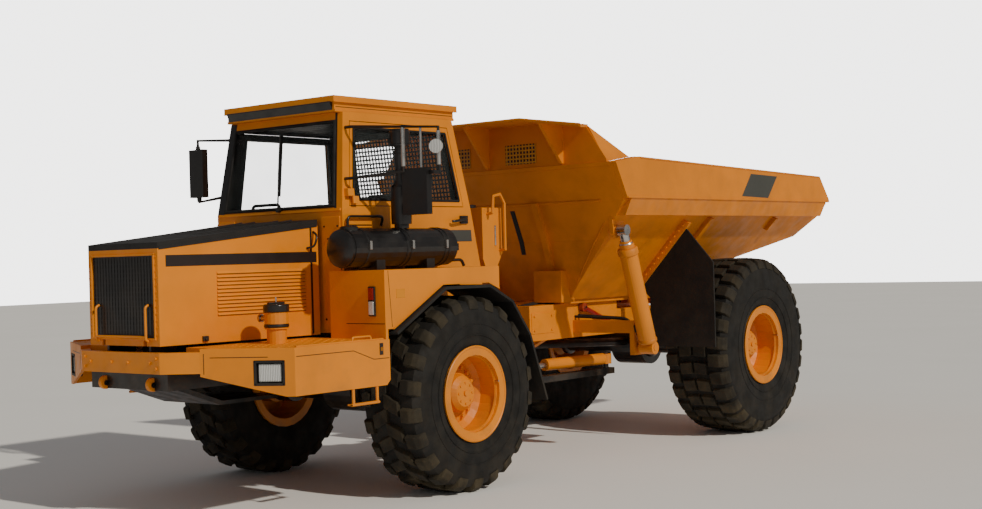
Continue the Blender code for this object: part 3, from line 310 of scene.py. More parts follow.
def turned_box(centre, along, up, half):
    """A box about a centre, with its long side along one direction and another up."""
    along = Vector(along).normalized()
    up = Vector(up).normalized()
    out = along.cross(up).normalized()
    points, faces = box(-half[0], half[0], -half[1], half[1], -half[2], half[2])
    placed = [Vector(centre) + along * p[0] + out * p[1] + up * p[2] for p in points]
    return [tuple(p) for p in placed], faces


def loft(sections):
    """A closed solid through sections that have the same number of points."""
    count = len(sections[0])
    points = [p for section in sections for p in section]
    faces = []
    for s in range(len(sections) - 1):
        for i in range(count):
            j = (i + 1) % count
            faces.append((s * count + i, s * count + j, (s + 1) * count + j, (s + 1) * count + i))
    faces.append(tuple(range(count)))
    faces.append(tuple(range(len(points) - count, len(points))))
    return points, faces


def ring_round(centre, direction, radius, sides):
    direction = Vector(direction).normalized()
    side = direction.orthogonal().normalized()
    up = direction.cross(side)
    turns = [2 * math.pi * i / sides for i in range(sides)]
    return [tuple(Vector(centre) + side * radius * math.cos(t) + up * radius * math.sin(t)) for t in turns]


def rod(start, end, radius, sides=16, end_radius=None):
    run = Vector(end) - Vector(start)
    last = radius if end_radius is None else end_radius
    return loft([ring_round(start, run, radius, sides), ring_round(end, run, last, sides)])


def turned(start, direction, profile, sides=24):
    """A solid turned about a line: profile lists (distance along, radius)."""
    direction = Vector(direction).normalized()
    return loft([
        ring_round(Vector(start) + direction * along, direction, max(radius, 0.0005), sides)
        for along, radius in profile
    ])


def rounded_path(points, bend, steps=4):
    """The path with each inner corner replaced by an arc-like curve."""
    path = [Vector(p) for p in points]
    out = [path[0]]
    for before, corner, after in zip(path, path[1:], path[2:]):
        first = corner + (before - corner).normalized() * min(bend, (before - corner).length * 0.45)
        last = corner + (after - corner).normalized() * min(bend, (after - corner).length * 0.45)
        for i in range(steps + 1):
            t = i / steps
            out.append(first * (1 - t) ** 2 + corner * 2 * t * (1 - t) + last * t ** 2)
    out.append(path[-1])
    return out


def pipe(points, radius, bend=0.05, sides=10):
    """A round tube through points, with rounded corners."""
    path = rounded_path(points, bend)
    sections = []
    side = None
    for i, place in enumerate(path):
        run = path[min(i + 1, len(path) - 1)] - path[max(i - 1, 0)]
        run.normalize()
        side = run.orthogonal() if side is None else side - run * side.dot(run)
        side.normalize()
        up = run.cross(side)
        turns = [2 * math.pi * k / sides for k in range(sides)]
        sections.append([tuple(place + side * radius * math.cos(t) + up * radius * math.sin(t))
                         for t in turns])
    return loft(sections)


def hoop(points, radius, sides=8):
    """A closed tube round a loop of points."""
    path = [Vector(p) for p in points]
    pieces = []
    for i, place in enumerate(path):
        after = path[(i + 1) % len(path)]
        pieces.append(rod(place, after, radius, sides))
        pieces.append(turned(place - Vector((0, 0, radius)), (0, 0, 1),
                             [(0, radius * 0.3), (radius, radius), (2 * radius, radius * 0.3)], sides))
    return pieces


def mirrored(shape):
    points, faces = shape
    return [(-x, y, z) for x, y, z in points], [tuple(reversed(f)) for f in faces]


def both(shapes):
    return list(shapes) + [mirrored(s) for s in shapes]


def on_side(shapes, sign):
    return shapes if sign > 0 else [mirrored(s) for s in shapes]


def piece(name, shapes, material, body="front_unit", bevel=0.0, smooth=False):
    """One visible piece from many shapes, riding on a body of the frame.

    It holds the given material in its one slot.
    """
    points = []
    faces = []
    for some_points, some_faces in shapes:
        start = len(points)
        points += [(x, y - MIDDLE, z) for x, y, z in some_points]
        faces += [tuple(i + start for i in face) for face in some_faces]
    mesh = bpy.data.meshes.new(name)
    mesh.from_pydata(points, [], faces)
    bm = bmesh.new()
    bm.from_mesh(mesh)
    bmesh.ops.recalc_face_normals(bm, faces=bm.faces)
    bm.to_mesh(mesh)
    bm.free()
    obj = bpy.data.objects.new(name, mesh)
    bpy.context.scene.collection.objects.link(obj)
    mesh.materials.append(material)
    if smooth:
        mesh.shade_smooth()
        mesh.set_sharp_from_angle(angle=math.radians(40))
    if bevel:
        modifier = obj.modifiers.new("soft_edges", "BEVEL")
        modifier.width = bevel
        modifier.segments = 2
        modifier.limit_method = "ANGLE"
    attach(obj, body)
    return obj


def soften(name, width):
    """Small rounded edges on a CAD node, for its look only."""
    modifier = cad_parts[name].modifiers.new("soft_edges", "BEVEL")
    modifier.width = width
    modifier.segments = 2
    modifier.limit_method = "ANGLE"
    modifier.angle_limit = math.radians(35)


SOFT_NODES = [
    "hood", "hood_top", "cab_shell", "cab_roof", "front_bumper", "deck_left", "deck_right",
    "fender_left", "fender_right", "dump_body", "spill_guard", "rear_frame", "door_left",
    "door_right", "hydraulic_tank",
]
for name in SOFT_NODES:
    soften(name, 0.004)
for name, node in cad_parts.items():
    node.data.shade_smooth()
    node.data.set_sharp_from_angle(angle=math.radians(30))


# ---- tyres --------------------------------------------------------------
def tyre_carcass(radius, width, rim):
    """(across, radius) outline of a tyre without its tread blocks."""
    half = width / 2
    return [
        (-half * 0.70, rim - 0.048), (-half * 0.86, rim - 0.048), (-half * 0.88, rim + 0.012),
        (-half * 0.955, rim + 0.045), (-half * 0.995, rim + 0.13), (-half, rim + 0.20),
        (-half * 0.985, radius - 0.16), (-half * 0.94, radius - 0.09), (-half * 0.84, radius - 0.05),
        (-half * 0.6, radius - 0.038), (0.0, radius - 0.034), (half * 0.6, radius - 0.038),
        (half * 0.84, radius - 0.05), (half * 0.94, radius - 0.09), (half * 0.985, radius - 0.16),
        (half, rim + 0.20), (half * 0.995, rim + 0.13), (half * 0.955, rim + 0.045),
        (half * 0.88, rim + 0.012), (half * 0.86, rim - 0.048), (half * 0.70, rim - 0.048),
        (half * 0.80, rim + 0.08), (0.0, radius - 0.10), (-half * 0.80, rim + 0.08),
    ]


def spun(outline, centre, steps):
    """The outline turned full circle about the X line through the centre."""
    count = len(outline)
    points = []
    for s in range(steps):
        turn = 2 * math.pi * s / steps
        for across, radius in outline:
            y = centre[1] + radius * math.cos(turn)
            z = centre[2] + radius * math.sin(turn)
            points.append((centre[0] + across, y, z))
    faces = []
    for s in range(steps):
        t = (s + 1) % steps
        for i in range(count):
            j = (i + 1) % count
            faces.append((s * count + i, s * count + j, t * count + j, t * count + i))
    return points, faces


def lug(centre, path, turn, wide, skew):
    """A tread block: path lists (across, top radius, foot radius); wide is its length in radians."""
    sections = []
    for across, top, foot in path:
        at = turn + skew * across
        corners = [(foot, -wide / 2), (top, -wide * 0.38), (top, wide * 0.38), (foot, wide / 2)]
        section = []
        for radius, shift in corners:
            y = centre[1] + radius * math.cos(at + shift)
            z = centre[2] + radius * math.sin(at + shift)
            section.append((centre[0] + across, y, z))
        sections.append(section)
    return loft(sections)


def front_blocks(centre, radius, half):
    """Two rows of long blocks and a row at each shoulder, set half a pitch apart."""
    shapes = []
    pitches = 22
    step = 2 * math.pi / pitches
    for i in range(pitches):
        for side in (1.0, -1.0):
            turn = i * step + (step / 2 if side < 0 else 0.0)
            inner = [(side * half * s, radius - d, radius - 0.05)
                     for s, d in ((-0.04, 0.004), (0.22, 0.0), (0.46, 0.0))]
            shapes.append(lug(centre, inner, turn, step * 0.62, 0.55 * side))
            outer = [
                (side * half * 0.53, radius, radius - 0.05),
                (side * half * 0.80, radius - 0.008, radius - 0.06),
                (side * half * 0.93, radius - 0.040, radius - 0.09),
                (side * half * 0.975, radius - 0.085, radius - 0.115),
            ]
            shapes.append(lug(centre, outer, turn + step * 0.42, step * 0.60, 0.10 * side))
    return shapes


def rear_blocks(centre, radius, half):
    """Four rows of plain blocks round the tyre."""
    shapes = []
    pitches = 30
    step = 2 * math.pi / pitches
    for i in range(pitches):
        for side in (1.0, -1.0):
            inner = [(side * half * 0.035, radius, radius - 0.05),
                     (side * half * 0.42, radius - 0.002, radius - 0.05)]
            shapes.append(lug(centre, inner, i * step, step * 0.80, 0.10 * side))
            outer = [
                (side * half * 0.49, radius - 0.003, radius - 0.05),
                (side * half * 0.82, radius - 0.014, radius - 0.06),
                (side * half * 0.94, radius - 0.050, radius - 0.09),
                (side * half * 0.98, radius - 0.090, radius - 0.12),
            ]
            shapes.append(lug(centre, outer, (i + 0.5) * step, step * 0.80, 0.10 * side))
    return shapes


def wall_rings(centre, rim, half, sign):
    """Two raised rings on the tyre's outer wall."""
    shapes = []
    for reach in (0.085, 0.175):
        at = sign * half * (0.985 if reach < 0.1 else 1.0)
        outline = [(at - sign * 0.004, rim + reach), (at + sign * 0.004, rim + reach + 0.004),
                   (at + sign * 0.004, rim + reach + 0.010), (at - sign * 0.004, rim + reach + 0.014)]
        shapes.append(spun(outline, centre, 64))
    return shapes


# end, half-track, y, radius, width, rim radius, tread
WHEELS = [
    ("front", 1.125, 0.0, 0.805, 0.597, 0.388, front_blocks),
    ("rear", 1.245, 4.58, 0.915, 0.710, 0.402, rear_blocks),
]
NUT_RING = 0.215            # radius of the ring of wheel nuts
HUB_RING = 0.085            # radius of the ring of hub bolts
for end, x, y, radius, width, rim, blocks in WHEELS:
    for side, sign in SIDES:
        centre = (x * sign, y, radius)
        body = f"wheel_{end}_{side}"
        carcass = [spun(tyre_carcass(radius, width, rim), centre, 72),
                   *wall_rings(centre, rim, width / 2, sign)]
        shown = piece(f"{end}_tyre_walls_{side}", carcass, TYRE, body, smooth=True)
        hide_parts(f"tyre_{end}_{side}")
        piece(f"{end}_tread_blocks_{side}", blocks(centre, radius, width / 2), TREAD, body, bevel=0.006)
        disc = sign * (x + width / 2 * 0.12)
        nuts = []
        for i in range(16):
            turn = 2 * math.pi * i / 16
            at = (disc, y + NUT_RING * math.cos(turn), radius + NUT_RING * math.sin(turn))
            nuts.append(rod(at, (disc + sign * 0.040, at[1], at[2]), 0.017, 6))
        hub = sign * (x + (0.17 if end == "front" else 0.19))
        for i in range(8):
            turn = 2 * math.pi * i / 8
            at = (hub - sign * 0.004, y + HUB_RING * math.cos(turn), radius + HUB_RING * math.sin(turn))
            nuts.append(rod(at, (hub + sign * 0.008, at[1], at[2]), 0.009, 6))
        nuts.append(rod((hub - sign * 0.004, y, radius), (hub + sign * 0.012, y, radius), 0.022, 12))
        piece(f"{end}_wheel_nuts_{side}", nuts, PAINT, body)
        bead = sign * (width / 2 * 0.86 + 0.027)
        lip = [(bead - sign * 0.014, rim - 0.006), (bead, rim + 0.006), (bead + sign * 0.006, rim - 0.004),
               (bead, rim - 0.014)]
        lock = [(bead - sign * 0.05, rim - 0.078), (bead - sign * 0.035, rim - 0.070),
                (bead - sign * 0.035, rim - 0.082), (bead - sign * 0.05, rim - 0.088)]
        rings = [spun(lip, centre, 72), spun(lock, centre, 72)]
        piece(f"{end}_rim_rings_{side}", rings, PAINT, body, smooth=True)
        valve_end = sign * x + bead
        valve = [rod((valve_end - sign * 0.05, y + 0.30, radius + 0.08),
                     (valve_end, y + 0.30, radius + 0.08), 0.007, 8)]
        piece(f"{end}_valve_{side}", valve, STEEL, body)


# ---- hood, grille and bumper --------------------------------------------
HOOD_NOSE = -2.43
HOOD_LENGTH = 1.55
LOUVRE_PITCH = 0.0286


def hood_side(y, out):
    """Half-width of the hood at a place along it, moved out."""
    return 0.42 + 0.10 * (y - HOOD_NOSE) / HOOD_LENGTH + out


def hood_top_edge(y):
    return 2.05 + 0.16 * (y - HOOD_NOSE) / HOOD_LENGTH


def on_hood(y0, y1, z0, z1, thick, lean=0.0):
    """A strip lying on the hood's left side; its lower edge stands out further by lean."""
    sections = []
    for y in (y0, y1):
        sections.append([
            (hood_side(y, -0.004), y, z0), (hood_side(y, thick + lean), y, z0),
            (hood_side(y, thick), y, z1), (hood_side(y, -0.004), y, z1),
        ])
    return loft(sections)


slats = []
for i in range(12):
    z = 1.535 + i * LOUVRE_PITCH
    slats.append(on_hood(-1.90, -1.02, z, z + 0.019, 0.001, 0.013))
piece("hood_louvres", both(slats), PAINT, "hood")
# Painted shade: a thin dark strip just under each louvre's lower edge.
louvre_shade = [on_hood(-1.895, -1.025, 1.531 + i * LOUVRE_PITCH, 1.5345 + i * LOUVRE_PITCH, 0.0012)
           for i in range(12)]
piece("hood_louvre_painted_shade", both(louvre_shade), BAND, "hood")
bands = [
    on_hood(-2.36, -0.90, 1.915, 2.000, 0.0012),
    on_hood(-0.965, -0.945, 1.34, 1.915, 0.0012),
    on_hood(-0.965, -0.945, 2.000, 2.195, 0.0012),
]
piece("hood_dark_band", both(bands), BAND, "hood")
catches = []
for y in (-2.05, -1.35):
    catches.append(on_hood(y, y + 0.05, 1.345, 1.385, 0.018))
    catches.append(rod((hood_side(y, 0.018), y + 0.025, 1.36), (hood_side(y, 0.030), y + 0.025, 1.36),
                       0.012, 10))
piece("hood_catches", both(catches), BLACK, "hood", bevel=0.003)
trim = [pipe([(hood_side(-0.93, 0.002), -0.93, 2.16), (hood_side(-0.93, 0.06), -0.94, 2.13),
              (hood_side(-0.96, 0.06), -0.97, 2.04), (hood_side(-0.98, 0.002), -1.00, 2.03)], 0.009)]
piece("hood_grab_handles", both(trim), BLACK, "hood", smooth=True)

grille = []
for i in range(21):
    x = -0.355 + i * 0.0355
    grille.append(box(x - 0.003, x + 0.003, -2.4275, -2.4225, 1.40, 1.99))
for i in range(17):
    z = 1.41 + i * 0.0355
    grille.append(box(-0.365, 0.365, -2.4265, -2.4225, z - 0.003, z + 0.003))
piece("grille_mesh", grille, BLACK, "hood")
edging = [
    box(-0.385, -0.370, -2.442, -2.426, 1.39, 2.01), box(0.370, 0.385, -2.442, -2.426, 1.39, 2.01),
    box(-0.385, 0.385, -2.442, -2.426, 1.375, 1.390), box(-0.385, 0.385, -2.442, -2.426, 2.000, 2.015),
]
piece("grille_edging", edging, PAINT, "hood", bevel=0.003)
bars = [pipe([(0.30, -2.440, 1.365), (0.30, -2.462, 1.38), (0.30, -2.462, 1.62), (0.30, -2.430, 1.635)],
             0.010, 0.02)]
bars.append(rod((0.0, -2.462, 1.40), (0.30, -2.462, 1.40), 0.009, 10))
piece("grille_guard_bars", both(bars), PAINT, "hood", smooth=True)
rivets = [rod((0.402, -2.432, 1.42 + i * 0.052), (0.402, -2.438, 1.42 + i * 0.052), 0.005, 8)
          for i in range(12)]
piece("grille_rivets", both(rivets), PAINT, "hood")
edge = [loft([
    [(hood_side(y, -0.012), y, hood_top_edge(y) - 0.012),
     (hood_side(y, 0.005), y, hood_top_edge(y) - 0.008),
     (hood_side(y, 0.005), y, hood_top_edge(y) + 0.012),
     (hood_side(y, -0.012), y, hood_top_edge(y) + 0.012)]
    for y in (-2.42, -0.89)
])]
piece("hood_top_edging", both(edge), CHARCOAL, "hood")
top_ribs = []
for x in (0.14, 0.30):
    top_ribs.append(loft([
        [(x - 0.012, y, z), (x - 0.006, y, z + 0.007), (x + 0.006, y, z + 0.007), (x + 0.012, y, z)]
        for y, z in ((-2.33, 2.0944), (-0.96, 2.2580))
    ]))
piece("hood_top_ribs", both(top_ribs), CHARCOAL, "hood")

bolts = []
for x in (0.10, 0.36, 0.43):
    for z in ((1.17, 1.245) if x > 0.4 else (1.21,)):
        bolts.append(rod((x, -2.478, z), (x, -2.492, z), 0.012, 6))
piece("bumper_bolts", both(bolts), PAINT)
hooks = [
    box(0.265, 0.305, -2.40, -2.30, 1.02, 1.10),
    rod((0.265, -2.405, 1.045), (0.305, -2.405, 1.045), 0.052, 20),
]
piece("tow_hooks", both(hooks), PAINT, bevel=0.006)
eyes = [rod((0.258, -2.41, 1.042), (0.312, -2.41, 1.042), 0.020, 14)]
piece("tow_hook_pins", both(eyes), BLACK)


# ---- deck: headlights, seams, walkway -----------------------------------
WING_START = Vector((0.72, -2.31, 0.0))
WING_RUN = (Vector((1.35, -1.965, 0.0)) - WING_START).normalized()
WING_OUT = Vector((WING_RUN.y, -WING_RUN.x, 0.0))


def on_wing(x, z, out):
    """A point on the deck's angled front skirt, at a width and a height."""
    return WING_START + WING_RUN * ((x - WING_START.x) / WING_RUN.x) + WING_OUT * out + Vector((0, 0, z))


def wing_plate(x, z, half_wide, half_high, back, front):
    middle = (back + front) / 2
    return turned_box(on_wing(x, z, middle), WING_RUN, (0, 0, 1),
                      (half_wide, abs(front - back) / 2, half_high))


LAMP_X = 1.18
recess = [wing_plate(LAMP_X, 1.13, 0.108, 0.088, -0.060, -0.050)]
frame_bars = [
    wing_plate(LAMP_X, 1.212, 0.114, 0.010, -0.055, 0.003),
    wing_plate(LAMP_X, 1.048, 0.114, 0.010, -0.055, 0.003),
    wing_plate(LAMP_X - 0.095, 1.13, 0.010, 0.090, -0.055, 0.003),
    wing_plate(LAMP_X + 0.095, 1.13, 0.010, 0.090, -0.055, 0.003),
]
piece("headlight_bezels", both(recess + frame_bars), PLASTIC, bevel=0.003)
piece("headlight_lenses", both([wing_plate(LAMP_X, 1.13, 0.088, 0.066, -0.048, -0.012)]), CLEAR_LENS,
      bevel=0.01)
seams = [
    wing_plate(0.98, 1.245, 0.22, 0.0025, 0.0, 0.0012),
    box(1.3500, 1.3512, -1.95, -1.36, 1.243, 1.248),
    wing_plate(0.745, 1.20, 0.0025, 0.075, 0.0, 0.0012),
    loft([[(1.3500, y, z), (1.3512, y, z), (1.3512, y, z + 0.005), (1.3500, y, z + 0.005)]
          for y, z in ((-1.36, 1.243), (-1.14, 1.165))]),
    box(1.3500, 1.3512, -1.14, -0.97, 1.165, 1.170),
]
piece("deck_seams", both(seams), BAND)
slots = [box(1.3500, 1.3530, -1.075, -1.035, 1.195, 1.285)]
piece("deck_side_slots", both(slots), BAND, bevel=0.002)
piece("deck_side_lamps", both([box(1.3525, 1.358, -1.066, -1.044, 1.225, 1.255)]), AMBER_LENS, bevel=0.002)
studs = []
for i in range(9):
    for j in range(9):
        x = 0.62 + i * 0.082
        y = -1.98 + j * 0.105
        over_edge = x - 0.72 > (y + 2.26) * 1.82
        if not over_edge and (x - 0.80) ** 2 + (y + 1.62) ** 2 > 0.014:
            studs.append(rod((x, y, 1.309), (x, y, 1.314), 0.016, 8, 0.011))
piece("deck_grip_studs", both(studs), PAINT)
strips = [box(1.325, 1.345, -1.94, -1.02, 1.309, 1.322)]
piece("deck_edge_strips", both(strips), PAINT, bevel=0.003)
handle = [pipe([(1.34, -1.36, 1.31), (1.34, -1.36, 1.345), (1.34, -1.16, 1.345), (1.34, -1.16, 1.31)],
               0.008, 0.02)]
piece("deck_grab_bars", both(handle), PAINT, smooth=True)
tread = [box(1.29, 1.347, -1.38, -1.08, 0.832, 0.846)]
piece("step_treads", both(tread), PAINT, bevel=0.003)

cap = [
    turned((0.80, -1.62, 1.545), (0, 0, 1),
           [(0, 0.092), (0.004, 0.099), (0.055, 0.099), (0.062, 0.088), (0.062, 0)], 28),
    box(0.785, 0.815, -1.70, -1.54, 1.60, 1.622),
    turned((0.80, -1.62, 1.43), (0, 0, 1), [(0, 0.093), (0.014, 0.096), (0.028, 0.093)], 28),
]
piece("filler_cap", cap, BLACK, bevel=0.004, smooth=True)
breather = [
    rod((0.72, -1.62, 1.50), (0.64, -1.62, 1.50), 0.022, 12),
    rod((0.64, -1.62, 1.50), (0.62, -1.62, 1.50), 0.032, 14),
    rod((0.80, -1.62, 1.60), (0.80, -1.62, 1.66), 0.007, 8),
]
piece("filler_breather", breather, STEEL, smooth=True)


# ---- fenders ------------------------------------------------------------
lamp_backs = [box(1.185, 1.255, -1.016, -0.998, 1.485, 1.715)]
piece("marker_lamp_backs", both(lamp_backs), PLASTIC, bevel=0.006)
piece("marker_lamps_red", both([box(1.193, 1.247, -1.024, -1.010, 1.61, 1.705)]), RED_LENS, bevel=0.006)
piece("marker_lamps_clear", both([box(1.193, 1.247, -1.024, -1.010, 1.495, 1.60)]), CLEAR_LENS, bevel=0.006)
fender_lines = [
    loft([[(1.3500, y, z), (1.3512, y, z), (1.3512, y + 0.004, z), (1.3500, y + 0.004, z)]
          for y, z in ((-0.96, 1.835), (-0.925, 1.40))]),
    box(0.935, 1.345, -1.0012, -0.9995, 1.425, 1.430),
]
piece("fender_seams", both(fender_lines), BAND)
plates = [box(1.350, 1.3525, -0.87, -0.77, 1.62, 1.69)]
piece("fender_blank_plates", both(plates), AMBER_LENS, "front_unit", bevel=0.001)
arch_lip = [
    loft([[(1.338, y, z - 0.004), (1.354, y, z - 0.004), (1.354, y, z + 0.012), (1.338, y, z + 0.012)]
          for y, z in ((-0.906, 1.385), (-0.31, 1.708), (0.27, 1.708), (0.418, 1.650))]),
]
piece("fender_arch_lips", both(arch_lip), PAINT)


# ---- air cleaner and intake stack ----------------------------------------
AIR = Vector((0.97, 0.0, 2.015))
cleaner = [
    turned(AIR + Vector((0, -1.055, 0)), (0, -1, 0),
           [(0, 0.15), (0.03, 0.148), (0.052, 0.12), (0.064, 0.07), (0.068, 0.0)], 36),
    turned(AIR + Vector((0, 0.155, 0)), (0, 1, 0), [(0, 0.15), (0.015, 0.147), (0.03, 0.12), (0.034, 0.0)],
           36),
]
for y in (-0.92, -0.47, -0.42, 0.0, 0.05):
    cleaner.append(turned(AIR + Vector((0, y, 0)), (0, 1, 0),
                          [(0, 0.1555), (0.006, 0.162), (0.020, 0.162), (0.026, 0.1555)], 36))
piece("air_cleaner_ends_and_bands", cleaner, BLACK, smooth=True)
clamps = []
for y in (-0.907, -0.407, 0.013):
    clamps.append(box(1.122, 1.142, y - 0.012, y + 0.012, 2.00, 2.07))
piece("air_cleaner_clamps", clamps, STEEL, bevel=0.003)
elbow = [turned((0.97, -0.98, 2.13), (0, 0, 1), [(0, 0.07), (0.02, 0.074), (0.05, 0.074), (0.06, 0.06)],
                24)]
piece("air_cleaner_elbow", elbow, BLACK, smooth=True)
drain = [pipe([(1.06, 0.16, 1.90), (1.06, 0.28, 1.90), (1.06, 0.31, 1.85)], 0.013, 0.03)]
drain.append(box(0.93, 1.02, 0.16, 0.30, 1.98, 2.04))
piece("air_cleaner_drain", drain, BLACK, smooth=True)
stack = [
    turned((0.97, -0.36, 2.205), (0, 0, 1),
           [(0, 0.082), (0.05, 0.084), (0.30, 0.084), (0.335, 0.050), (0.36, 0.046)], 28),
    turned((0.97, -0.36, 2.845), (0, 0, 1),
           [(0, 0.05), (0.012, 0.086), (0.11, 0.086), (0.135, 0.06), (0.137, 0.0)], 28),
]
for z in (2.62, 2.78):
    stack.append(turned((0.97, -0.36, z), (0, 0, 1),
                        [(0, 0.0455), (0.004, 0.052), (0.022, 0.052), (0.026, 0.0455)], 24))
piece("intake_stack_body", stack, BLACK, smooth=True)


# ---- cab ----------------------------------------------------------------
def cab_side(y, z, out=0.0):
    """A point on the cab's left side wall, or just outside it."""
    return (0.755 * (1.0 - 0.13 * max(0.0, z - CAB_WAIST)) + out, y, z)


def cab_front_y(z):
    return -0.83 + 0.12 * max(0.0, z - CAB_WAIST) / CAB_GLASS_HEIGHT


def cab_rear_y(z):
    return 0.80 - 0.14 * max(0.0, z - CAB_WAIST) / CAB_GLASS_HEIGHT


def side_strip(corners, out):
    """A flat trim plate on the cab's side between (y, z) corners."""
    return loft([[cab_side(y, z, -0.002) for y, z in corners], [cab_side(y, z, out) for y, z in corners]])


def cab_front(share, z, ahead):
    """A point on the front wall: share of the half-width, height, distance ahead of the wall."""
    return (cab_side(0, z)[0] * share, cab_front_y(z) - ahead, z)


window_seal = hoop([cab_side(y, z, 0.001)
                    for y, z in ((-0.685, 2.415), (-0.604, 3.005), (0.545, 3.005), (0.645, 2.415))], 0.011)
piece("left_window_seal", window_seal, SHEET_RUBBER, "door_left", smooth=True)
door_seal = hoop([(-x, y, z) for x, y, z in (
    cab_side(-0.605, 1.975, 0.001), cab_side(-0.605, 2.36, 0.001), cab_side(-0.554, 3.005, 0.001),
    cab_side(0.454, 3.005, 0.001), cab_side(0.545, 2.36, 0.001), cab_side(0.545, 1.975, 0.001))], 0.011)
piece("right_window_seal", door_seal, SHEET_RUBBER, "door_right", smooth=True)
screen_corners = [cab_front(s, z, 0.002)
                  for s, z in ((-0.875, 2.365), (0.875, 2.365), (0.875, 3.055), (-0.875, 3.055))]
piece("windscreen_seal", hoop(screen_corners, 0.014), SHEET_RUBBER, smooth=True)
rear_corners = [(s * cab_side(0, z)[0], cab_rear_y(z) + 0.002, z)
                for s, z in ((-0.80, 2.395), (0.80, 2.395), (0.80, 3.035), (-0.80, 3.035))]
piece("rear_window_seal", hoop(rear_corners, 0.012), SHEET_RUBBER, smooth=True)
pillars = [
    loft([[cab_front(-1.0, z, 0.003), cab_front(-0.885, z, 0.003), cab_front(-0.885, z, -0.004),
           cab_front(-1.0, z, -0.004)]
          for z in (2.33, 3.125)]),
    loft([[cab_front(0.885, z, 0.003), cab_front(0.915, z, 0.003), cab_front(0.915, z, -0.004),
           cab_front(0.885, z, -0.004)]
          for z in (2.33, 3.125)]),
]
piece("windscreen_pillar_covers", pillars, BLACK)
wiper = [
    pipe([cab_front(0.05, 2.36, 0.035), cab_front(0.02, 2.72, 0.040), cab_front(0.0, 2.98, 0.040)], 0.007),
    loft([[cab_front(s, z, 0.014), cab_front(s + 0.012, z, 0.014), cab_front(s + 0.012, z, 0.034),
           cab_front(s, z, 0.034)]
          for s, z in ((0.04, 2.47), (0.0, 3.00))]),
    turned(cab_front(0.05, 2.355, 0.0), (0, -1, 0), [(0, 0.022), (0.045, 0.018)], 14),
]
piece("windscreen_wiper", wiper, BLACK)
scuttle = [loft([[cab_front(-0.98, z, -0.001), cab_front(0.98, z, -0.001), cab_front(0.98, z, 0.010),
                  cab_front(-0.98, z, 0.010)]
                 for z in (2.322, 2.345)])]
piece("scuttle_strip", scuttle, PAINT, bevel=0.003)
# Painted shade: a thin black plate on the roof's front face, for the shade under the roof's edge.
roof_front_shade = [
    loft([[(x, -0.7795, 3.145), (x, -0.806, 3.205), (x, -0.806, 3.212), (x, -0.774, 3.212)]
          for x in (-0.625, 0.625)]),
]
piece("roof_front_painted_shade", roof_front_shade, BLACK)
gutter = [box(0.640, 0.672, -0.80, 0.75, 3.205, 3.214), box(0.640, 0.655, -0.775, 0.72, 3.128, 3.150)]
piece("roof_gutters", both(gutter), PAINT, bevel=0.003)
lines = [box(0.6452, 0.6465, -0.76, 0.70, 3.168, 3.173)]
piece("roof_side_lines", both(lines), BAND)
band = [side_strip([(-0.40, 2.06), (0.80, 2.06), (0.79, 2.16), (-0.40, 2.16)], 0.0015)]
piece("cab_blank_band", both(band), LABEL)
panel = [side_strip([(-0.80, 2.083), (-0.80, 2.238), (-0.475, 2.238), (-0.475, 2.083)], 0.010)]
piece("cab_vent_panels", both(panel), PAINT, bevel=0.004)
vents = [side_strip([(-0.775, z), (-0.50, z), (-0.50, z + 0.010), (-0.775, z + 0.010)], 0.0112)
         for z in (2.100, 2.125, 2.150, 2.175, 2.200)]
piece("cab_vent_slots", both(vents), BAND)
rail = [pipe([(0.757, -0.805, 1.99), (0.785, -0.805, 2.02), (0.785, -0.80, 2.275), (0.785, -0.38, 2.275),
              (0.757, -0.38, 2.20)], 0.011, 0.04)]
piece("cab_grab_rails", both(rail), BLACK, smooth=True)
catch = [
    pipe([cab_side(0.70, 2.255, 0.0), cab_side(0.69, 2.255, 0.045), cab_side(0.52, 2.235, 0.045),
          cab_side(0.50, 2.235, 0.03)], 0.013, 0.02),
    side_strip([(0.64, 2.215), (0.64, 2.285), (0.74, 2.285), (0.74, 2.215)], 0.014),
]
piece("left_window_handle", catch, BLACK, bevel=0.003)
lever = [(-x, y, z) for x, y, z in (cab_side(0.50, 2.10, 0.0), cab_side(0.50, 2.10, 0.04),
                                    cab_side(0.36, 2.10, 0.04), cab_side(0.34, 2.10, 0.03))]
piece("right_door_handle", [pipe(lever, 0.012, 0.02),
                            turned_box((-0.757, 0.50, 2.10), (0, 1, 0), (0, 0, 1), (0.04, 0.012, 0.03))],
      BLACK, "door_right", smooth=True)
guard = [loft([[(x * cab_side(0, z)[0], cab_rear_y(z) + 0.045, z) for x in (-0.86, 0.86)] +
               [(x * cab_side(0, z)[0], cab_rear_y(z) + 0.050, z)
                for x in (0.86, -0.86)] for z in (2.40, 3.06)])]
piece("rear_guard_mesh", guard, GUARD_HOLES)
guard_frame = hoop([(x * cab_side(0, z)[0], cab_rear_y(z) + 0.047, z)
                    for x, z in ((-0.87, 2.39), (0.87, 2.39), (0.87, 3.07), (-0.87, 3.07))], 0.012)
for x, z in ((-0.80, 2.39), (0.80, 2.39), (-0.80, 3.07), (0.80, 3.07)):
    at = x * cab_side(0, z)[0]
    guard_frame.append(rod((at, cab_rear_y(z) - 0.002, z), (at, cab_rear_y(z) + 0.047, z), 0.010, 10))
piece("rear_guard_frame", guard_frame, BLACK, smooth=True)
cowl = [box(0.525, 0.735, -0.842, -0.8302, 1.37, 2.28)]
piece("cowl_plates", both(cowl), PAINT, bevel=0.004)
cowl_bolts = [rod((0.66, -0.842, 1.66), (0.66, -0.850, 1.66), 0.018, 10)]
cowl_bolts += [rod((x, -0.842, z), (x, -0.847, z), 0.008, 8)
               for x, z in ((0.56, 1.45), (0.56, 2.20), (0.71, 1.45), (0.71, 2.20), (0.60, 2.10),
                            (0.68, 2.02))]
piece("cowl_bolts", both(cowl_bolts), BLACK)
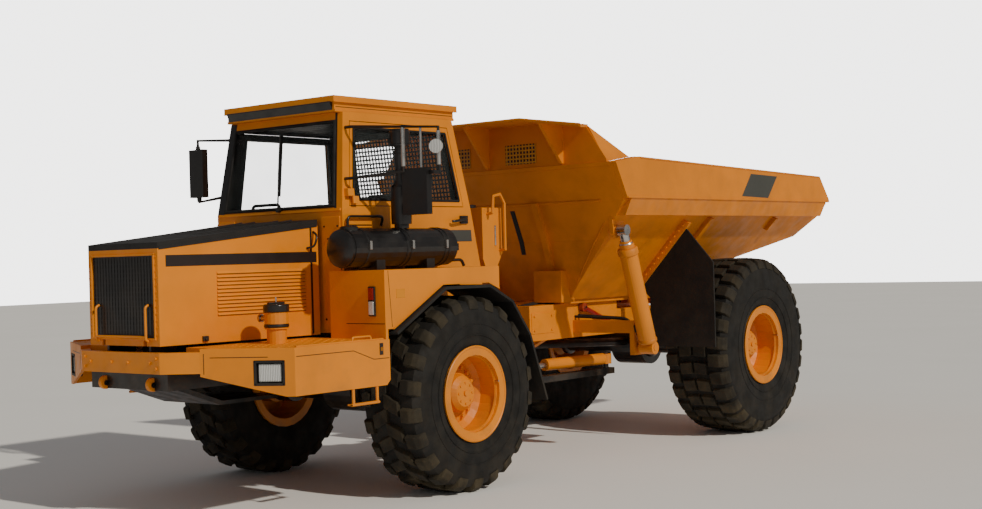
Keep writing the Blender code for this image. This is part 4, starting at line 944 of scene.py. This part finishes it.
inside = [
    box(-0.70, -0.685, -0.74, 0.78, 1.45, 1.93), box(0.685, 0.70, -0.74, 0.78, 1.45, 2.28),
    box(-0.69, 0.69, 0.85, 0.872, 1.45, 1.75), box(-0.60, 0.60, -0.66, 0.60, 3.115, 3.128),
]
piece("cab_lining", inside, PLASTIC)
console = [box(-0.45, -0.15, -0.10, 0.60, 1.45, 1.92), box(0.40, 0.62, 0.05, 0.60, 1.45, 1.90)]
console += [pipe([(-0.24, 0.02, 1.90), (-0.24, 0.0, 2.04)], 0.009),
            turned((-0.24, 0.0, 2.03), (0, 0, 1), [(0, 0.012), (0.02, 0.022), (0.045, 0.012)], 14)]
piece("cab_consoles", console, PLASTIC, bevel=0.012)
bars = [pipe([(-0.62, -0.54, 2.22), (-0.62, -0.54, 2.42), (-0.28, -0.54, 2.42), (-0.28, -0.54, 2.22)],
             0.014, 0.04)]
piece("cab_inner_grab_bar", bars, BLACK, smooth=True)
instrument = [turned_box((0.12, -0.62, 2.245), (1, 0, 0), (0, 0.5, 1), (0.22, 0.05, 0.05)),
              turned_box((-0.30, -0.66, 2.235), (1, 0, 0), (0, 0.3, 1), (0.16, 0.06, 0.03))]
piece("instrument_hood", instrument, PLASTIC, bevel=0.012)

WHEEL_AXIS = Vector((0.0, 0.80, 0.60)).normalized()
WHEEL_CENTRE = Vector((0.12, -0.60, 2.06)) + WHEEL_AXIS * 0.315
rim_points = ring_round(WHEEL_CENTRE, WHEEL_AXIS, 0.175, 32)
wheel = []
for start, end in zip(rim_points, rim_points[1:] + rim_points[:1]):
    run = (Vector(end) - Vector(start)) * 0.06
    wheel.append(rod(Vector(start) - run, Vector(end) + run, 0.0145, 10))
for i in (2, 13, 24):
    wheel.append(rod(WHEEL_CENTRE, rim_points[i], 0.012, 8))
wheel.append(turned(WHEEL_CENTRE - WHEEL_AXIS * 0.014, WHEEL_AXIS,
                    [(0, 0.035), (0.02, 0.055), (0.03, 0.05), (0.032, 0)], 20))
rim_piece = piece("steering_wheel_rim", wheel, PLASTIC, smooth=True)
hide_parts("steering_wheel")


# ---- seat ---------------------------------------------------------------
CLOTH_FRAMES = 20
FARTHEST_SWELL = 0.008


def inflate(pad):
    """Swells a closed mesh with a short cloth run, no point moving further than the limit."""
    cloth = pad.modifiers.new("stuffed", "CLOTH")
    cloth.settings.use_pressure = True
    cloth.settings.uniform_pressure_force = 4.0
    cloth.settings.effector_weights.gravity = 0.0
    for frame_number in range(1, CLOTH_FRAMES + 1):
        bpy.context.scene.frame_set(frame_number)
    graph = bpy.context.evaluated_depsgraph_get()
    swollen = [vert.co.copy() for vert in pad.evaluated_get(graph).data.vertices]
    pad.modifiers.remove(cloth)
    bpy.context.scene.frame_set(1)
    for vert, target in zip(pad.data.vertices, swollen):
        step = target - vert.co
        vert.co += step * min(1.0, FARTHEST_SWELL / max(step.length, 0.0001))


def cushion(name, shape, node):
    """A stuffed pad: the block's mesh, evenly divided, then blown up by cloth pressure."""
    pad = piece(name, [shape], CLOTH)
    bpy.context.view_layer.objects.active = pad
    remesh = pad.modifiers.new("even", "REMESH")
    remesh.mode = "VOXEL"
    remesh.voxel_size = 0.008
    smooth = pad.modifiers.new("round", "SMOOTH")
    smooth.factor = 0.5
    smooth.iterations = 12
    with bpy.context.temp_override(object=pad, active_object=pad, selected_objects=[pad]):
        bpy.ops.object.modifier_apply(modifier="even")
        bpy.ops.object.modifier_apply(modifier="round")
    inflate(pad)
    pad.data.shade_smooth()
    fine = pad.modifiers.new("fine", "SUBSURF")
    fine.levels = 1
    fine.render_levels = 1
    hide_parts(node)
    return pad


def pad_block(low, high, lean=0.0):
    """A block between two corners; lean moves its top back."""
    x0, y0, z0 = low
    x1, y1, z1 = high
    return loft([[(x0, y0, z0), (x1, y0, z0), (x1, y1, z0), (x0, y1, z0)],
                 [(x0, y0 + lean, z1), (x1, y0 + lean, z1), (x1, y1 + lean, z1), (x0, y1 + lean, z1)]])


cushion("seat_cushion_pad", pad_block((-0.122, -0.072, 1.7525), (0.362, 0.392, 1.864)), "seat_cushion")
cushion("seat_back_pad", pad_block((-0.112, 0.288, 1.880), (0.352, 0.382, 2.512), 0.11), "seat_back")
piping = [pipe([(-0.125, -0.07, 1.815), (0.365, -0.07, 1.815)], 0.006)]
piece("seat_piping", piping, PLASTIC, smooth=True)
piece("seat_arm_rests", [box(-0.20, -0.14, 0.0, 0.34, 2.02, 2.07), box(0.38, 0.44, 0.0, 0.34, 2.02, 2.07),
                         box(-0.18, -0.15, 0.30, 0.36, 1.80, 2.05),
                         box(0.39, 0.42, 0.30, 0.36, 1.80, 2.05)],
      PLASTIC, bevel=0.01)


# ---- mirrors ------------------------------------------------------------
piece("mirror_faces", [box(1.15, 1.39, -0.4705, -0.468, 2.28, 2.63),
                       box(-1.07, -0.91, -0.8005, -0.798, 2.52, 2.92)],
      MIRROR)
brackets = [rod((1.16, -0.53, 2.66), (1.16, -0.53, 2.97), 0.0165, 12),
            rod((1.44, -0.42, 2.66), (1.44, -0.42, 2.93), 0.0165, 12),
            rod((1.30, -0.475, 2.64), (1.30, -0.475, 2.975), 0.010, 10)]
piece("mirror_sleeves", brackets, STEEL, smooth=True)
work_lamp = [turned((1.44, -0.435, 2.80), (0.45, -0.85, 0.05),
                    [(0, 0.0), (0.01, 0.035), (0.04, 0.055), (0.055, 0.056), (0.058, 0.0)], 24)]
piece("work_lamp", work_lamp, CLEAR_LENS, smooth=True)
tips = [turned((-0.99, -0.83, 2.90), (0, 0, 1), [(0, 0.018), (0.03, 0.022), (0.06, 0.018)], 14),
        turned((-0.99, -0.83, 2.47), (0, 0, 1), [(0, 0.018), (0.03, 0.022), (0.06, 0.018)], 14)]
piece("mirror_clamps", tips, BLACK, smooth=True)


# ---- tank, frame and hitch ----------------------------------------------
tank_cap = [turned((0.50, 1.10, 2.358), (0, 0, 1), [(0, 0.055), (0.03, 0.055), (0.036, 0.048), (0.036, 0)],
                   24)]
piece("tank_cap", tank_cap, BLACK, smooth=True)
sight = [rod((0.742, 1.15, 2.02), (0.742, 1.15, 2.20), 0.010, 10)]
piece("tank_sight_gauge", sight, STEEL)
hoses = []
for x, z in ((0.10, 1.27), (0.17, 1.27), (0.24, 1.26)):
    hoses.append(pipe([(x, 1.05, z), (x, 1.30, z + 0.08), (x + 0.03, 1.36, z + 0.06),
                       (x + 0.03, 1.38, z - 0.02)], 0.016, 0.08))
piece("frame_hoses", hoses, SHEET_RUBBER, smooth=True)
bolts = []
for turn in range(0, 360, 45):
    x = 0.085 * math.cos(math.radians(turn))
    y = 1.45 + 0.085 * math.sin(math.radians(turn))
    bolts.append(rod((x, y, 1.239), (x, y, 1.252), 0.011, 6))
piece("pivot_bolts", bolts, STEEL)
flange = [turned((0.0, 1.765, 1.02), (0, 1, 0), [(0, 0.218), (0.005, 0.235), (0.035, 0.235), (0.04, 0.218)],
                 36)]
for i in range(12):
    turn = 2 * math.pi * i / 12
    at = (0.225 * math.cos(turn), 1.765, 1.02 + 0.225 * math.sin(turn))
    flange.append(rod(at, (at[0], 1.752, at[2]), 0.011, 6))
piece("roll_bearing_flange", flange, PAINT, "rear_unit", smooth=True)
lock = [
    rod((0.535, 2.80, 1.385), (0.535, 3.42, 1.155), 0.024, 14),
    turned((0.515, 2.80, 1.385), (1, 0, 0), [(0, 0.045), (0.04, 0.045)], 20),
    turned((0.515, 3.42, 1.155), (1, 0, 0), [(0, 0.045), (0.04, 0.045)], 20),
]
piece("steering_lock_bar", lock, RED_PAINT, "rear_unit", smooth=True)
piece("lock_bar_pins", [rod((0.50, 2.80, 1.385), (0.575, 2.80, 1.385), 0.014, 12),
                        rod((0.50, 3.42, 1.155), (0.575, 3.42, 1.155), 0.014, 12)],
      STEEL, "rear_unit")
plates = [box(0.498, 0.506, 1.98, 2.34, 1.16, 1.36)]
for y in (2.02, 2.30):
    for z in (1.19, 1.33):
        plates.append(rod((0.505, y, z), (0.516, y, z), 0.012, 6))
piece("frame_side_plates", both(plates), PAINT, "rear_unit", bevel=0.002)
lines = [pipe([(0.30, 2.10, 1.42), (0.30, 2.50, 1.45), (0.40, 2.70, 1.30), (1.10, 2.73, 1.275),
               (1.17, 2.73, 1.20)], 0.014, 0.08),
         pipe([(0.26, 2.10, 1.42), (0.26, 2.50, 1.46), (0.40, 2.76, 1.31), (1.08, 2.77, 1.278),
               (1.17, 2.77, 1.15)], 0.014, 0.08)]
piece("hoist_supply_hoses", both(lines), SHEET_RUBBER, "rear_unit", smooth=True)
covers = [turned((0.195, 4.58, 0.915), (1, 0, 0), [(0, 0.16), (0.02, 0.155), (0.04, 0.12)], 28),
          turned((0.88, 4.58, 0.915), (1, 0, 0), [(0, 0.10), (0.02, 0.15), (0.06, 0.15), (0.08, 0.10)], 28)]
piece("rear_axle_covers", both(covers), BLACK, "rear_unit", smooth=True)
front_covers = [turned((0.17, 0.0, 0.805), (1, 0, 0), [(0, 0.14), (0.02, 0.135), (0.035, 0.11)], 28)]
piece("front_axle_covers", both(front_covers), BLACK, smooth=True)


# ---- hoists -------------------------------------------------------------
HOIST_LOW = Vector((1.345, 2.72, 1.00))
HOIST_RUN = (Vector((1.345, 2.33, 2.13)) - HOIST_LOW).normalized()
for side, sign in SIDES:
    collar = [
        turned(HOIST_LOW + HOIST_RUN * 0.945, HOIST_RUN,
               [(0, 0.086), (0.012, 0.098), (0.060, 0.098), (0.073, 0.088)], 32),
        turned(HOIST_LOW + HOIST_RUN * 0.058, HOIST_RUN,
               [(0, 0.086), (0.008, 0.092), (0.030, 0.092), (0.038, 0.086)], 32),
    ]
    piece(f"hoist_collars_{side}", on_side(collar, sign), BODY_PAINT, f"hoist_barrel_{side}", smooth=True)
    port = [
        turned_box(HOIST_LOW + HOIST_RUN * 0.20 + Vector((-0.085, 0, 0)), HOIST_RUN, (1, 0, 0),
                   (0.035, 0.025, 0.02)),
        pipe([HOIST_LOW + HOIST_RUN * 0.20 + Vector((-0.10, 0, 0)),
              HOIST_LOW + HOIST_RUN * 0.12 + Vector((-0.13, 0.02, 0)),
              HOIST_LOW + Vector((-0.11, 0.05, 0.10))], 0.013, 0.04),
    ]
    piece(f"hoist_ports_{side}", on_side(port, sign), SHEET_RUBBER, f"hoist_barrel_{side}", smooth=True)
    gland = [turned(HOIST_LOW + HOIST_RUN * 1.052, HOIST_RUN, [(0, 0.064), (0.012, 0.066), (0.022, 0.060)],
                    28)]
    piece(f"hoist_wiper_ring_{side}", on_side(gland, sign), STEEL, f"hoist_stage_outer_{side}", smooth=True)


# ---- dump body ----------------------------------------------------------
RAIL_X = 1.500


def body_side(z, out):
    """Just outside the body's leaning side at a height."""
    return 0.58 + 0.87 * (z - 1.47) / 0.94 + out


def on_rail(corners, thick):
    """A flat shape on the side rail's outer face."""
    return loft([[(RAIL_X - 0.002, y, z) for y, z in corners],
                 [(RAIL_X + thick, y, z) for y, z in corners]])


decal = [on_rail([(4.34, 2.469), (4.906, 2.457), (5.12, 2.692), (4.544, 2.706)], 0.0012)]
piece("body_blank_decals", both(decal), LABEL, "dump_body")
hems = [
    on_rail([(2.19, 2.427), (6.36, 2.427), (6.36, 2.445), (2.19, 2.445)], 0.006),
    on_rail([(2.42, 2.800), (6.12, 2.702), (6.12, 2.716), (2.42, 2.814)], 0.006),
]
piece("rail_hems", both(hems), BODY_PAINT, "dump_body", bevel=0.002)
welds = [pipe([(0.60, 2.505, 1.50), (0.95, 2.36, 1.95), (1.20, 2.27, 2.25)], 0.006, 0.01, 8)]
piece("body_front_welds", both(welds), BODY_PAINT, "dump_body", smooth=True)
fold = [pipe([(-1.44, 2.027, 2.722), (1.44, 2.027, 2.722)], 0.010, 0.01, 8),
        pipe([(-1.20, 2.186, 2.416), (1.20, 2.186, 2.416)], 0.012, 0.01, 8)]
piece("body_front_folds", fold, BODY_PAINT, "dump_body", smooth=True)
# A black strip running down the body's front wall.
slot = [loft([[(0.10, y - 0.004, z), (0.155, y - 0.004, z), (0.155, y + 0.01, z), (0.10, y + 0.01, z)]
              for z, y in ((2.36, 2.215), (2.05, 2.35), (1.62, 2.475))])]
piece("body_front_dark_strip", slot, BLACK, "dump_body")
ribs = []
for y in (3.95, 5.35):
    floor = 1.47 if y < 3.6 else 1.47 + 0.58 * (y - 3.60) / 2.62
    ribs.append(loft([
        [(body_side(z, -0.004), y, z), (body_side(z, 0.045), y, z - 0.02),
         (body_side(z, 0.045), y + 0.07, z - 0.02), (body_side(z, -0.004), y + 0.07, z)]
        for z in (floor + 0.28, 2.26)
    ]))
piece("body_side_ribs", both(ribs), BODY_PAINT, "dump_body", bevel=0.004)
FLAP_Y = 3.53
clamp = [loft([
    [(body_side(z, -0.02), FLAP_Y - 0.025, z), (body_side(z, 0.07), FLAP_Y - 0.025, z - 0.04),
     (body_side(z, 0.07), FLAP_Y + 0.028, z - 0.04), (body_side(z, -0.02), FLAP_Y + 0.028, z)]
    for z in (1.56, 2.235)
])]
for i in range(12):
    z = 1.60 + i * 0.054
    clamp.append(rod((body_side(z, 0.032), FLAP_Y - 0.023, z - 0.02),
                     (body_side(z, 0.032), FLAP_Y - 0.038, z - 0.02), 0.011, 6))
piece("flap_clamp_strips", both(clamp), BODY_PAINT, "dump_body")
screen = [box(0.22, 0.59, 2.006, 2.010, 2.80, 2.99)]
piece("guard_perforated_sheet", both(screen), HOLES, "dump_body")
sheet_back = [box(0.22, 0.59, 2.0105, 2.0118, 2.80, 2.99)]
piece("guard_sheet_shadow", both(sheet_back), BAND, "dump_body")
lip = [pipe([(-1.385, 1.607, 3.085), (-0.71, 1.607, 3.185), (0.71, 1.607, 3.185), (1.385, 1.607, 3.085)],
            0.014, 0.02, 10)]
piece("guard_front_lip", lip, BODY_PAINT, "dump_body", smooth=True)
tail = [loft([[(-1.10, 6.16, 2.092), (1.10, 6.16, 2.092), (1.10, 6.16, 2.110), (-1.10, 6.16, 2.110)],
              [(-1.10, 6.21, 2.103), (1.10, 6.21, 2.103), (1.10, 6.21, 2.121), (-1.10, 6.21, 2.121)]])]
piece("tail_wear_plate", tail, BODY_PAINT, "dump_body", bevel=0.003)


# ---- room, light and camera ---------------------------------------------
def plain(name, first, last, rough):
    material, tree, shader, coords = new_material(name)
    colour = add_ramp(tree, add_noise(tree, coords, 0.35, 3.0), 0.3, 0.7, first, last)
    tree.links.new(colour, shader.inputs["Base Color"])
    shader.inputs["Roughness"].default_value = rough
    return material


floor_mesh = bpy.data.meshes.new("floor")
floor_mesh.from_pydata([(-60, -60, 0), (60, -60, 0), (60, 60, 0), (-60, 60, 0)], [], [(0, 1, 2, 3)])
floor = bpy.data.objects.new("floor", floor_mesh)
bpy.context.scene.collection.objects.link(floor)
floor_mesh.materials.append(plain("pale_floor", (0.93, 0.925, 0.915, 1.0), (0.96, 0.955, 0.945, 1.0), 0.85))

world = bpy.data.worlds.new("soft_sky")
bpy.context.scene.world = world
world.use_nodes = True
sky = world.node_tree
dim = sky.nodes["Background"]
dim.inputs["Color"].default_value = (0.95, 0.93, 0.92, 1.0)
dim.inputs["Strength"].default_value = 0.22
backdrop = sky.nodes.new("ShaderNodeBackground")
backdrop.inputs["Color"].default_value = (1.0, 0.99, 0.975, 1.0)
backdrop.inputs["Strength"].default_value = 4.0
seen = sky.nodes.new("ShaderNodeLightPath")
choose = sky.nodes.new("ShaderNodeMixShader")
sky.links.new(seen.outputs["Is Camera Ray"], choose.inputs["Fac"])
sky.links.new(dim.outputs["Background"], choose.inputs[1])
sky.links.new(backdrop.outputs["Background"], choose.inputs[2])
sky.links.new(choose.outputs["Shader"], sky.nodes["World Output"].inputs["Surface"])


def add_light(name, kind, energy, place, target, size, colour):
    data = bpy.data.lights.new(name, kind)
    data.energy = energy
    data.color = colour
    if kind == "SUN":
        data.angle = size
    else:
        data.shape = "SQUARE"
        data.size = size
    light = bpy.data.objects.new(name, data)
    bpy.context.scene.collection.objects.link(light)
    light.location = place
    light.rotation_mode = "QUATERNION"
    light.rotation_quaternion = (Vector(target) - Vector(place)).to_track_quat("-Z", "Y")
    return light


add_light("key_sun", "SUN", 2.4, (9.0, -0.8, 7.5), (0.0, 0.0, 1.0), math.radians(1.5), (1.0, 0.93, 0.80))
add_light("soft_fill", "AREA", 30.0, (5.0, -10.0, 5.0), (0.0, -1.0, 1.4), 6.0, (1.0, 0.96, 0.90))

AZIMUTH = 0.863
ROLL = -0.029
ahead = Vector((-math.cos(AZIMUTH), math.sin(AZIMUTH), 0.0))
right = ahead.cross(Vector((0.0, 0.0, 1.0)))
over = right.cross(ahead)
cam_x = right * math.cos(ROLL) + over * math.sin(ROLL)
cam_y = over * math.cos(ROLL) - right * math.sin(ROLL)
camera_data = bpy.data.cameras.new("camera")
camera = bpy.data.objects.new("camera", camera_data)
bpy.context.scene.collection.objects.link(camera)
bpy.context.scene.camera = camera
camera_data.sensor_width = 36.0
camera_data.lens = 53.1
camera_data.shift_x = 0.0523
camera_data.shift_y = 0.0030
camera.matrix_world = Matrix((
    (cam_x.x, cam_y.x, -ahead.x, 8.881),
    (cam_x.y, cam_y.y, -ahead.y, -11.112),
    (cam_x.z, cam_y.z, -ahead.z, 1.924),
    (0.0, 0.0, 0.0, 1.0),
))
